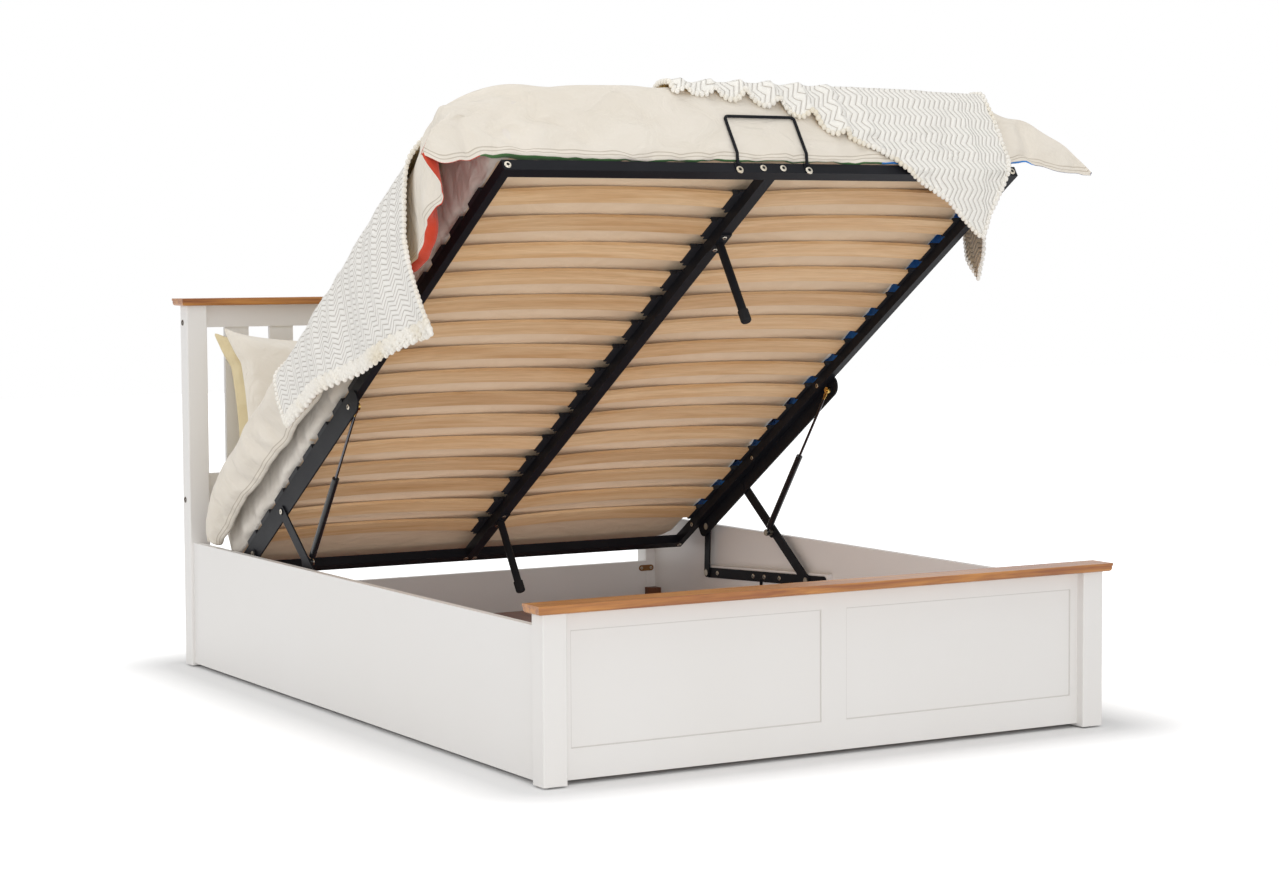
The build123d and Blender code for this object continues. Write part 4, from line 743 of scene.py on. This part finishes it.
# %% [markdown]
# The mattress is a quilted block in a fitted sheet. It is never a sharp box: the corners are round
# in plan, the rims are soft, and the sheet pulls into small creases that deepen towards the lower
# rim. A cube is bevelled twice, cut finer, and its points are then eased in or out.
# %% Mattress
MATTRESS_HALF, MATTRESS_FOOT, MATTRESS_HEAD = 0.675, 1.688, -0.202
MATTRESS_LOW, MATTRESS_HIGH = 0.0653, 0.2253
CORNER_RADIUS, RIM_RADIUS, RIM_BAND = 0.07, 0.024, 0.03


def make_mattress():
    length, high = MATTRESS_FOOT - MATTRESS_HEAD, MATTRESS_HIGH - MATTRESS_LOW
    middle = (MATTRESS_FOOT + MATTRESS_HEAD) / 2
    place = (0, -middle, (MATTRESS_LOW + MATTRESS_HIGH) / 2)
    piece = fresh(bpy.ops.mesh.primitive_cube_add, size=1.0, location=place)
    piece.name = piece.data.name = "mattress_in_sheet"
    piece.scale = (2 * MATTRESS_HALF, length, high)
    bpy.ops.object.transform_apply(location=True, rotation=True, scale=True)
    bpy.ops.object.mode_set(mode="EDIT")
    bpy.ops.mesh.select_all(action="DESELECT")
    bpy.ops.object.mode_set(mode="OBJECT")
    for edge in piece.data.edges:
        a, b = (piece.data.vertices[i].co for i in edge.vertices)
        edge.select = abs(a.x - b.x) < 1e-6 and abs(a.y - b.y) < 1e-6
    bpy.ops.object.mode_set(mode="EDIT")
    bpy.context.tool_settings.mesh_select_mode = (False, True, False)
    bpy.ops.mesh.bevel(offset=CORNER_RADIUS, segments=5, affect="EDGES")
    bpy.ops.object.mode_set(mode="OBJECT")
    applied(piece, "BEVEL", width=RIM_RADIUS, segments=3, limit_method="ANGLE", angle_limit=math.radians(50))
    applied(piece, "REMESH", mode="VOXEL", voxel_size=0.010)
    co = points_of(piece)
    low = (co[:, 2] - MATTRESS_LOW) / high
    side = np.maximum(np.abs(co[:, 0]) / MATTRESS_HALF, np.abs(co[:, 1] + middle) / (length / 2))
    for i, (x, y, z) in enumerate(co):
        if side[i] > 0.985:
            pull = soft_noise(x * 14, y * 14, z * 5) * 0.006 * (1.15 - low[i])
            pull += soft_noise(x * 30, y * 30, z * 6 + 2.0) * 0.011 * (1.2 - low[i])
            across = np.sign(x) if abs(x) > MATTRESS_HALF - RIM_BAND else 0.0
            along = np.sign(y + middle) if abs(y + middle) > length / 2 - RIM_BAND else 0.0
            co[i] += np.array([across, along, 0.0]) * (pull - 0.004)
        elif low[i] < 0.1:
            co[i, 2] += 0.0015 + 0.0030 * abs(soft_noise(x * 7, y * 40, 3.0))
    set_points(piece, lifted(co * (1, -1, 1)))
    applied(piece, "SMOOTH", factor=0.5, iterations=2)
    return smooth_shaded(piece)


mattress = make_mattress()
dress(mattress, fitted_sheet, sheet_underside)
down = Vector((0, -TILT_SIN, -TILT_COS))
for face in mattress.data.polygons:
    face.material_index = 1 if face.normal.dot(down) > 0.96 else 0
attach(mattress, "platform")
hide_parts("mattress")
print("mattress faces", len(mattress.data.polygons))

# %% [markdown]
# The duvet is one soft arch over the mattress. Its cross-section is a short list of points for each
# side: the crown, the shoulder, a bulge below it and the hem, and these drift along the bed. At the
# foot end the arch closes with a flat drop, and at both foot corners the spare cloth stands out as
# a fin. All stations are smoothed and given folds that grow towards the hem.
# %% Duvet sections
DUVET_TOP, DUVET_FACE, ROUND = 0.2625, 1.6965, 0.055
HEAD_EDGE, HEAD_TURN = -0.19, 0.03
# The drops are in millimetres at each station along the bed: how far out and up the hem is, then
# how far out and up the bulge is. The left one comes first.
STATIONS = [-190, -120, -20, 150, 350, 550, 800, 1000, 1200, 1320, 1420, 1500, 1570, 1630, 1670, 1690]
DROPS = {
    -1: (
        [690, 700, 705, 705, 706, 706, 708, 718, 752, 770, 780, 783, 786, 797, 824, 862],
        [112, 110, 104, 100, 96, 92, 85, 68, 24, 2, -6, 0, -10, -18, 4, 52],
        [715, 742, 756, 758, 757, 756, 756, 757, 760, 766, 772, 776, 778, 778, 774, 768],
        [185, 190, 190, 188, 186, 185, 182, 180, 178, 172, 168, 162, 160, 158, 156, 154],
    ),
    1: (
        [690, 700, 705, 705, 706, 706, 708, 710, 714, 722, 736, 760, 795, 842, 882, 899],
        [112, 90, 70, 67, 67, 67, 67, 67, 67, 74, 100, 132, 142, 120, 72, 28],
        [715, 742, 756, 758, 757, 756, 756, 757, 758, 760, 763, 768, 776, 784, 786, 782],
        [185, 190, 190, 186, 184, 183, 180, 178, 176, 172, 168, 164, 160, 156, 153, 150],
    ),
}


def read_off(at, places, values):
    """Reads a table in millimetres at a place in metres."""
    return float(np.interp(at, np.array(places) / 1000, np.array(values) / 1000))


def duvet_top(x, run):
    """Height of the duvet's upper face at a place, without its creases."""
    over = min(max(run - (DUVET_FACE - ROUND), 0.0), ROUND)
    drop = ROUND - math.sqrt(max(ROUND * ROUND - over * over, 0.0))
    crown = 0.007 * math.cos(min(abs(x) / 0.62, 1.0) * math.pi / 2)
    return DUVET_TOP + crown - 0.75 * drop - 0.35 * max(0.0, HEAD_TURN - run)


def duvet_side(run, sign):
    hem_x, hem_v, out_x, out_v = (read_off(run, STATIONS, table) for table in DROPS[sign])
    top = duvet_top(0.6, run)
    full = 0.2 + 0.42 * ramp(run, 1.45, 0.2)
    path = [(x, duvet_top(x, run)) for x in (0.0, 0.25, 0.48)]
    path += [(0.60, top - 0.004), (0.665, top - 0.018), (0.715, top - 0.042)]
    path += [(out_x - 0.012, (top - 0.042 + out_v) / 2 + 0.006), (out_x, out_v)]
    path += [(out_x + full * (hem_x - out_x), (out_v + hem_v) / 2 + 0.012), (hem_x, hem_v)]
    return soft_path(path, 120, 10, 48) * np.array([sign, 1.0])


def arch(run):
    return np.vstack([duvet_side(run, -1)[::-1], duvet_side(run, 1)[1:]])


DUVET_COLUMNS = len(arch(0.0))
print("duvet section of", DUVET_COLUMNS, "points")

# %% [markdown]
# The sections become rows of the duvet's grid, and the foot drop goes on from the last one down to
# its hem. Folds and puffs are noise. A long crease is a narrow ridge of noise, turned inwards, and
# it fades out in the fins, where it would fold the cloth through itself.
# %% Duvet sheet
FACE_STEPS, FIN_STARTS, CLOSE_ROWS_FROM = 15, 0.79, 1.60
FACE_HEM_X = [-862, -810, -745, -710, -660, -540, -350, -100, 150, 400, 660, 710, 745, 800, 860, 899]
FACE_HEM_V = [56, 30, 50, 60, 56, 50, 46, 49, 45, 50, 54, 60, 50, 30, 22, 19]


def duvet_row(run):
    section = arch(run)
    half = (len(section) - 1) / 2
    row = []
    for k, (x, v) in enumerate(section):
        drop = max(0.0, (abs(k - half) / half - 0.72) / 0.28)
        side = np.sign(x)
        fold = soft_noise(run * 5.5, 3.0 * side, 0.7) * 0.016 * drop
        fold += soft_noise(run * 13.0, 7.0, x * 3) * 0.006 * drop
        puff = soft_noise(x * 2.6, run * 2.2, 1.3) * 0.010 * (1 - drop)
        puff += soft_noise(x * 9, run * 9, 2.2) * 0.0025
        head_pull = 0.0
        if run < HEAD_TURN:
            # The head edge turns back in the middle, where the pillows stand.
            head_pull = 0.16 * ramp(abs(x), 0.70, -0.06) * (HEAD_TURN - run) / (HEAD_TURN - HEAD_EDGE)
        lift = puff * (run < 1.62)
        if drop > 0:
            lift += 0.006 * soft_noise(run * 8, 9.1)
        row.append((x + side * fold, min(run + head_pull, DUVET_FACE), v + lift))
    return row


def face_crease(x, v):
    ridge = max(0.0, 1.0 - abs(soft_noise(x * 9 - v * 14, v * 3, 8.0)) / 0.09) ** 2
    return 0.006 * soft_noise(x * 7 + v * 9, v * 12, 4.0) - 0.012 * ridge


def duvet_points():
    wide = np.linspace(HEAD_EDGE, CLOSE_ROWS_FROM, 76)
    runs = np.concatenate([wide[:-1], np.linspace(CLOSE_ROWS_FROM, DUVET_FACE, 9)])
    points = np.array([duvet_row(run) for run in runs])
    x, top_v = points[-1, :, 0], points[-1, :, 2]
    hem_v = np.array([read_off(a, FACE_HEM_X, FACE_HEM_V) + 0.003 * soft_noise(a * 11, 5.0) for a in x])
    hem_v = np.minimum(hem_v, top_v)
    face = []
    for share in np.arange(1, FACE_STEPS + 1) / FACE_STEPS:
        v = top_v * (1 - share) + hem_v * share
        crease = np.array([face_crease(a, b) for a, b in zip(x, v)])
        crease *= ramp(np.abs(x), FIN_STARTS, -0.05)
        run = DUVET_FACE + 0.0005 - 0.003 * share + np.minimum(crease, 0.0)
        run = run - 0.004 * (np.abs(x) > 0.72) * share
        face.append(np.column_stack([x, run, v]))
    return np.concatenate([points, np.array(face)])


duvet = laid_grid("duvet", duvet_points())
print("duvet grid", len(duvet.data.vertices), "points")

# %% [markdown]
# A made bed is never smooth, so the duvet's sheet goes through Blender's cloth once. It is told to be
# a few per cent larger than its place while most points are gently held, so it buckles into folds
# where nothing holds it. Its movement is capped, and then the result is applied, not kept live.
# %% Crumpling the duvet
SHEET_LIMIT, SETTLE_FRAMES, DUVET_MOST = 1.699, 16, 0.012
HELD_LIGHTLY, HELD_AT_FOOT, HELD_FIRMLY, HEM_BAND = 0.06, 0.03, 0.6, (0.02, 0.012)


def settled(piece, most, **settings):
    """Runs the cloth and keeps where it ends, but moves no point by more than `most`."""
    before = points_of(piece)
    cloth = piece.modifiers.new("settling", "CLOTH")
    cloth.settings.effector_weights.gravity = 0.0
    for name, value in settings.items():
        setattr(cloth.settings, name, value)
    for step in range(1, SETTLE_FRAMES + 1):
        bpy.context.scene.frame_set(step)
    move = points_of(piece.evaluated_get(bpy.context.evaluated_depsgraph_get())) - before
    piece.modifiers.remove(cloth)
    bpy.context.scene.frame_set(1)
    length = np.linalg.norm(move, axis=1, keepdims=True)
    set_points(piece, before + move * np.minimum(1.0, most / np.maximum(length, 1e-9)))
    return float(min(most, length.max()))


def edge_distance(piece, columns):
    """How far every point of a laid grid is from the grid's side rims and from its last row."""
    grid = points_of(piece).reshape(-1, columns, 3)
    over = travel_across(grid)
    sides = np.minimum(over, over[:, -1:] - over)
    rows = np.linalg.norm(np.diff(grid, axis=0), axis=2)
    foot = np.concatenate([np.cumsum(rows[::-1], axis=0)[::-1], np.zeros((1, columns))])
    return sides.ravel(), foot.ravel()


def weigh(piece, name, weights):
    group = piece.vertex_groups.new(name=name)
    for i, weight in enumerate(weights):
        group.add([i], float(weight), "REPLACE")


to_side, to_foot = edge_distance(duvet, DUVET_COLUMNS)
x, run, _ = levelled(points_of(duvet)).T
firm = np.where(run > 1.35, HELD_AT_FOOT, HELD_LIGHTLY)
hems = (to_side < HEM_BAND[0]) | (to_foot < HEM_BAND[1])
fins = (np.abs(x) > 0.76) & (run > 1.60)
firm[hems | fins] = HELD_FIRMLY
weigh(duvet, "held", firm)
reached = settled(
    duvet, DUVET_MOST, quality=5, mass=0.25, tension_stiffness=14, compression_stiffness=14,
    shear_stiffness=5, bending_stiffness=0.8, shrink_min=-0.07, vertex_group_mass="held",
    pin_stiffness=1.0,
)
placed = levelled(points_of(duvet))
placed[:, 1] = np.minimum(placed[:, 1], SHEET_LIMIT)
set_points(duvet, lifted(placed))
print("crumpling moved the cloth by up to", round(reached, 4))

# %% [markdown]
# A duvet has a filling, so the single sheet gets a thickness that points inwards, thicker in the roll
# along the left corner and the foot hem, and one round of subdivision softens the hem. The inner face
# and the rim take the patched reverse cloth, which then peeps out under the hem exactly where a real
# cover shows it. The distance to the hem is kept on every point, and the linen draws its two rows of
# stitches by it.
# %% Duvet filling
FILLING, THICK_ROLL, STITCH_ROWS = 0.013, 0.030, (0.010, 0.019)
hem_linen = washed_cotton("cream_cotton_with_hem_stitches", "#EEE7DC", "#E3DACB", 2.6)
tree = hem_linen.node_tree
to_hem = add(tree, "Attribute", attribute_name="to_hem").outputs["Fac"]
for distance in STITCH_ROWS:
    away = chain(tree, "Math", to_hem, ("SUBTRACT", distance), ("ABSOLUTE",))
    stitches = {"Value": away, "From Min": 0.0019, "From Max": 0.0008, "To Max": 0.55}
    laid_over(hem_linen, "#A99A86", add(tree, "MapRange", stitches))
dress(duvet, hem_linen, reverse_linen)
stored = duvet.data.attributes.new("to_hem", "FLOAT", "POINT")
stored.data.foreach_set("value", np.minimum(to_side, to_foot))

faces_up(duvet, [0, 0.8, 0.26])
duvet_skin = BVHTree.FromPolygons(
    [v.co for v in duvet.data.vertices], [f.vertices[:] for f in duvet.data.polygons]
)
x, run, _ = levelled(points_of(duvet)).T
corner_roll = ramp(run, 1.10, 0.12) * ramp(run, 1.58, -0.06) * ramp(to_side, 0.10, -0.05) * (x < 0)
wave = np.array([0.75 + 0.5 * soft_noise(a * 9.0, 2.5) for a in x])
foot_roll = ramp(x, -0.70, 0.05) * ramp(x, -0.10, -0.25) * wave * ramp(to_foot, 0.07, -0.05)
roll = np.maximum(corner_roll, foot_roll)
# At the foot corners two layers of cloth meet in a fin, which has no filling.
fin = ramp(run, 1.52, 0.06) * ramp(np.abs(x), 0.69, 0.05)
weigh(duvet, "padding", (FILLING / THICK_ROLL + (1 - FILLING / THICK_ROLL) * roll) * (1 - 0.88 * fin))
applied(
    duvet, "SOLIDIFY", thickness=THICK_ROLL, offset=-1.0, use_rim=True, material_offset=1,
    material_offset_rim=1, use_quality_normals=True, vertex_group="padding",
)
applied(duvet, "SUBSURF", levels=1, render_levels=1)
smooth_shaded(duvet)
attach(duvet, "platform")
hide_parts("duvet")
print("duvet faces", len(duvet.data.polygons))

# %% [markdown]
# The left throw lies over the duvet's shoulder and hangs down outside it. Every column of its grid
# follows one path: in from the top, over the shoulder and down to a hem that runs obliquely, and
# its foot edge leans out at the top. Slow noise gives the two or three soft folds of heavy knit.
# Where a point would dip into the duvet, it is lifted off its skin.
# %% Left throw
LEFT_FROM, LEFT_TO, THROW_COLUMNS, THROW_ROWS, HEM_SCALLOP = 0.575, 1.415, 160, 64, 0.031
HEM_RUN = [560, 656, 786, 968, 1096, 1328, 1430]
HEM_UP = [60, 44, 22, -44, -89, -163, -205]
OVER_SHOULDER = [
    (-0.375, 0.276), (-0.50, 0.275), (-0.61, 0.270), (-0.68, 0.252), (-0.738, 0.222), (-0.772, 0.185),
    (-0.778, 0.12), (-0.776, 0.06),
]


def left_throw_points():
    columns = []
    for t in np.linspace(0, 1, THROW_COLUMNS):
        run = LEFT_FROM + t * (LEFT_TO - LEFT_FROM)
        hem = read_off(run, HEM_RUN, HEM_UP) + 0.005 * math.sin(2 * math.pi * run / HEM_SCALLOP)
        path = OVER_SHOULDER + [(-0.772, min(hem, 0.05))]
        if hem < -0.02:
            path.insert(-1, (-0.776, hem / 2))
        column = []
        for k, (x, v) in enumerate(soft_path(path, 100, 8, THROW_ROWS)):
            down = k / (THROW_ROWS - 1)
            hang = ramp(v, 0.24, -0.25)
            fold = (soft_noise(run * 6.0, down * 1.2, 5.5) + 0.3) * 0.026 * hang
            fold += soft_noise(run * 15, down * 3, 8.0) * 0.005
            lean = 0.10 * t * ramp(v, 0.04, 0.2) - 0.02 * t * hang
            lift = (1 - hang) * 0.004 * soft_noise(run * 7, x * 7, 1.0)
            column.append((x - fold, run + lean, v + lift))
        columns.append(column)
    return np.array(columns)


def rest_over_duvet(piece, gap=0.0065):
    """Lifts the points of a sheet that lie closer to the duvet's skin than the gap."""
    raised = 0
    for vertex in piece.data.vertices:
        near, normal, _, far = duvet_skin.find_nearest(vertex.co, 0.06)
        if near is None:
            continue
        height = (vertex.co - near).dot(normal)
        if height < gap and abs(height) > 0.6 * far - 0.002:
            vertex.co += normal * (gap - height)
            raised += 1
    piece.data.update()
    print(piece.name, "points", len(piece.data.vertices), "lifted off the duvet", raised)


def laid_throw(name, points, level_top, uv_swap=False):
    throw = laid_grid(name, points, uv_swap)
    faces_up(throw, level_top)
    rest_over_duvet(throw)
    return throw


throw_left = laid_throw("throw_left_knit", left_throw_points(), [-0.45, 1.0, 0.276], uv_swap=True)

# %% [markdown]
# The right throw crosses the foot corner. Its columns run from the top of the bed over the foot edge
# and down the front. Below the foot rail nothing holds it any more, so there it hangs plumb, which
# in the level drawing leans back by the platform's tilt. Its hem falls to a point near the corner.
# %% Right throw
FLAP_X = [-205, -123, -6, 58, 140, 197, 257, 321, 365, 391, 460, 512, 553, 568, 585, 623, 645, 660]
FLAP_UP = [222, 219, 210, 190, 157, 116, 98, 59, 18, 2, -44, -94, -124, -130, -80, -14, 30, 68]
FLAP_FACE, RAIL_BOTTOM, FLAP_SCALLOP = 1.7015, 0.014, 0.078
FLAP_COLUMNS, FLAP_ROWS = 110, 84


def flap_path(x, end):
    back = 0.30 + 0.14 * ramp(x, -0.2, 0.4)
    ease = 0.010 - 0.010 * max(0.0, abs(x) - 0.5)
    over = np.linspace(DUVET_FACE - back, DUVET_FACE - 0.012, 26)
    path = [(run, duvet_top(x, run) + ease) for run in over]
    crest = path[-1][1]
    for v in np.linspace(crest - 0.012, max(end, RAIL_BOTTOM), 14):
        path.append((FLAP_FACE, min(v, crest - 0.01)))
    if end < RAIL_BOTTOM:
        fall = RAIL_BOTTOM - end
        path.append((FLAP_FACE - fall * TILT_SIN, RAIL_BOTTOM - fall * TILT_COS))
    return path


def right_throw_points():
    columns = []
    for x in np.linspace(-0.20, 0.655, FLAP_COLUMNS):
        scallop = abs(math.sin(math.pi * (x + 0.02) / FLAP_SCALLOP))
        end = read_off(x, FLAP_X, FLAP_UP)
        end += (0.014 - 0.026 * scallop) * ramp(x, 0.30, -0.15) * max(0.2, ramp(x, -0.16, 0.12))
        column = []
        for k, (run, v) in enumerate(soft_path(flap_path(x, end), 160, 4, FLAP_ROWS)):
            down = k / (FLAP_ROWS - 1)
            free = ramp(down, 0.55, 0.45)
            curl = free * (1.0 - scallop) * 0.022 * ramp(x, 0.36, -0.1) if v > 0.112 else 0.0
            swing = soft_noise(x * 7, down * 2, 6.0) * 0.003
            if v < RAIL_BOTTOM:
                swing = soft_noise(x * 9, v * 6, 6.0) * 0.012 - 0.002
            sway = 0.010 * free * soft_noise(v * 9, 2.0)
            lift = 0.006 * (down < 0.5) * soft_noise(x * 6, run * 6, 3.0)
            column.append((x + sway, min(run, FLAP_FACE) + curl + min(swing, 0.001), v + lift))
        columns.append(column)
    return np.array(columns)


throw_right = laid_throw("throw_right_knit", right_throw_points(), [0.3, 1.45, 0.27])

# %% [markdown]
# The same throw also slips over the far side of the bed, where only its last corner shows under the
# side rail, in shade. It is a second small sheet that starts under the first one on top of the bed.
# %% Right throw, far corner
CORNER_RUN, CORNER_UP = [1352, 1364, 1400, 1445, 1465, 1600], [10, -59, -30, 20, 100, 150]


def far_corner_points():
    columns = []
    for t in np.linspace(0, 1, 44):
        run = 1.352 + 0.248 * t
        end = read_off(run, CORNER_RUN, CORNER_UP)
        path = [(0.40, 0.275), (0.55, 0.274), (0.64, 0.262), (0.70, 0.238), (0.765, 0.19), (0.774, 0.155)]
        path += [(0.762, 0.100)] * (end < 0.09) + [(0.734, end)]
        column = soft_path(path, 80, 6, 48)
        columns.append([(x + 0.006 * (v < 0.08) * soft_noise(run * 30, 4.0), run, v) for x, v in column])
    return np.array(columns)


throw_corner = laid_throw("throw_right_corner", far_corner_points(), [0.45, 1.45, 0.275], uv_swap=True)

# %% [markdown]
# Heavy knit is about five millimetres thick, and its reverse is warmer than its face. The edge of
# the throw is a row of small picots, the little knots of a crocheted border. One picot is a slightly
# flattened ball, copied along the rim at even steps, each copy with its own points in one mesh.
# %% Knit thickness and picot border
KNIT_THICK, PICOT_STEP, PICOT_SIZE = 0.0045, 0.0125, 0.0062
FRINGE_CLOSER, FRINGE_BIGGER = 0.8, 1.25


def rim_loop(piece):
    """The sheet's border points in order, read before it gets a thickness."""
    uses = {}
    for face in piece.data.polygons:
        for key in face.edge_keys:
            uses[key] = uses.get(key, 0) + 1
    links = {}
    for (a, b), count in uses.items():
        if count == 1:
            links.setdefault(a, []).append(b)
            links.setdefault(b, []).append(a)
    start = next(iter(links))
    loop, last, here = [start], None, start
    while True:
        last, here = here, next(p for p in links[here] if p != last)
        if here == start:
            return points_of(piece)[loop]
        loop.append(here)


def picot_border(name, rim, fringe):
    """Picots along the closed rim, and closer and bigger ones along the fringe's lines."""
    spots = []
    lines = [(np.vstack([rim, rim[:1]]), PICOT_STEP, 1.0)]
    lines += [(row, FRINGE_CLOSER * PICOT_STEP, FRINGE_BIGGER) for row in fringe]
    for line, step, bigger in lines:
        for centre in at_travel(line, np.arange(0, travelled(line)[-1], step)):
            size = PICOT_SIZE * bigger * (1.0 + 0.25 * soft_noise(len(spots) * 0.37, 1.7))
            spots.append((centre, (0, 0, 1), size))
    ball = fresh(bpy.ops.mesh.primitive_ico_sphere_add, subdivisions=2, radius=1.0, location=(0, 0, 0))
    edited(bpy.ops.transform.resize, value=(1.0, 0.8, 1.1))
    piece = copies(name, ball, spots)
    bpy.data.objects.remove(ball)
    return smooth_shaded(piece)


picot_yarn = pebbled("picot_yarn", "#F4F0E8", "#E6DAC0", 0.8, 0.9, 5.0, 0.001)
left_grid = points_of(throw_left).reshape(-1, THROW_ROWS, 3)
borders = {}
for piece, face_cloth, back_cloth, node_name, fringe in (
    (throw_left, knit, knit_back, "throw_left", [left_grid[:, k] for k in (61, 62)]),
    (throw_right, thick_knit, knit_back, "throw_right", []),
    (throw_corner, knit, painted_shade_knit, None, []),
):
    border = picot_border(piece.name + "_border", rim_loop(piece), fringe)
    border.data.materials.append(picot_yarn)
    dress(piece, face_cloth, back_cloth)
    applied(piece, "SOLIDIFY", thickness=KNIT_THICK, offset=-1.0, use_rim=True, material_offset=1)
    smooth_shaded(piece)
    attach(piece, "platform")
    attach(border, "platform")
    if node_name:
        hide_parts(node_name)
    borders[piece] = border
    print(piece.name, "faces", len(piece.data.polygons), "border faces", len(border.data.polygons))

# %% [markdown]
# Each throw has the flat width and length it was cut to, which are those of the paths that it
# takes. Its area is half of what the two sides of the laid piece measure, and where that is more
# than width times length, both are made a little larger.
# %% Sizes of the throws
for piece, width, length in ((throw_left, 0.88, 0.90), (throw_right, 0.86, 0.80), (throw_corner, 0.25, 0.62)):
    area = sum(f.area for f in piece.data.polygons) / 2
    fits = max(1.0, math.sqrt(area / (width * length)) * 1.002)
    width, length = width * fits, length * fits
    area = min(area, width * length)
    border = borders[piece]
    print(piece.name, "area", round(area, 3), "of", round(width * length, 3))

# %% [markdown]
# A pillow is two cloths sewn round the edge and stuffed. It is drawn nearly flat with drawn-in sides,
# and then Blender's cloth is blown up a little from inside: the seam holds, the middle fills and the
# corners stay thin, which is what makes real pillow ears and creases. The result is applied.
# %% Pillow
PILLOW_W, PILLOW_H, PILLOW_T, PILLOW_MOST = 0.640, 0.440, 0.060, 0.020


def flat_pillow():
    piece = fresh(bpy.ops.mesh.primitive_cube_add, size=1.0)
    piece.name = piece.data.name = "pillow"
    edited(bpy.ops.mesh.subdivide, number_cuts=31)
    u, d, w = (points_of(piece) * 2).T
    full = (1 - u ** 6) * (1 - w ** 6)
    x = u * (1.0 - 0.055 * (1 - w * w)) * PILLOW_W / 2
    y = d * (0.12 + 0.88 * np.maximum(full, 0) ** 0.5) * PILLOW_T / 2
    z = w * (1.0 - 0.075 * (1 - u * u)) * PILLOW_H / 2
    set_points(piece, np.column_stack([x, y, z]))
    return piece


pillow = flat_pillow()
reached = settled(
    pillow, PILLOW_MOST, quality=6, uniform_pressure_force=3.0, shrink_min=-0.05, mass=0.3,
    tension_stiffness=12, compression_stiffness=8, bending_stiffness=0.25, use_pressure=True,
)
print("stuffing moved the cloth by up to", round(reached, 4))
applied(pillow, "SUBSURF", levels=1, render_levels=1)
smooth_shaded(pillow)
print("pillow faces", len(pillow.data.polygons))

# %% [markdown]
# Four pillows stand against the headboard: two cream ones in front of two yellow ones. They are
# copies of the one that was stuffed, each with its own mesh. Two are mirrored, and all are eased by
# slow noise, so that no two look alike. They stay within the depth of the solid model's pillows.
# %% Four pillows
LEAN, DEPTH_SHARE = math.radians(3.5), 0.80


def placed_pillow(name, node, side, flip, seed, shift):
    low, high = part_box(node)
    mesh = pillow.data.copy()
    mesh.name = name
    piece = in_scene(name, mesh)
    co = points_of(piece)
    co[:, 0] *= flip
    for i, (x, y, z) in enumerate(co):
        ear = 0.022 * (x / 0.32) ** 2 * max(0.0, z / 0.22)
        sag = 0.008 * ramp(z, 0.0, 0.15)
        ring = math.hypot(x + 0.13 * flip, z + 0.16)
        ripple = math.sin(ring * 95 + 5 * soft_noise(x * 7, z * 7, seed)) * max(0.0, 1 - ring / 0.26)
        outward = (1 if y < 0 else -1) * ramp(abs(y), 0.0, 0.02)
        slack = 0.006 * soft_noise(x * 5 + seed, z * 5, y * 2) * (1 - abs(z) / 0.3)
        co[i, 0] = x * (1.0 + 0.20 * z)
        co[i, 1] = y + slack + 0.0055 * ripple * outward
        co[i, 2] = z + ear - sag + 0.006 * soft_noise(x * 4, seed, 0.0)
    half_depth = np.abs(co[:, 1]).max()
    co[:, 1] *= min(1.0, (high.y - low.y) / 2 * DEPTH_SHARE / half_depth)
    y = co[:, 1] * math.cos(LEAN) + co[:, 2] * math.sin(LEAN)
    z = -co[:, 1] * math.sin(LEAN) + co[:, 2] * math.cos(LEAN)
    middle_x = side * (high.x - low.x) / 4 + shift[0]
    middle_z = (high.z + low.z) / 2 + shift[1]
    if flip < 0:
        mesh.flip_normals()
    set_points(piece, np.column_stack([co[:, 0] + middle_x, y + (high.y + low.y) / 2, z + middle_z]))
    return piece


for name, node, side, flip, seed, shift, linen in (
    ("pillow_cream_left", "pillows_front", -1, 1, 1.3, (0.0, 0.0), cream_linen),
    ("pillow_cream_right", "pillows_front", 1, -1, 4.1, (0.0, 0.0), cream_linen),
    ("pillow_yellow_left", "pillows_back", -1, -1, 7.7, (0.004, 0.036), yellow_linen),
    ("pillow_yellow_right", "pillows_back", 1, 1, 9.2, (-0.012, 0.030), yellow_linen),
):
    piece = placed_pillow(name, node, side, flip, seed, shift)
    dress(piece, linen)
    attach(piece, "platform")
    if side < 0:
        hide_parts(node)
    print(name, "stands for half of", node)
bpy.data.objects.remove(pillow)
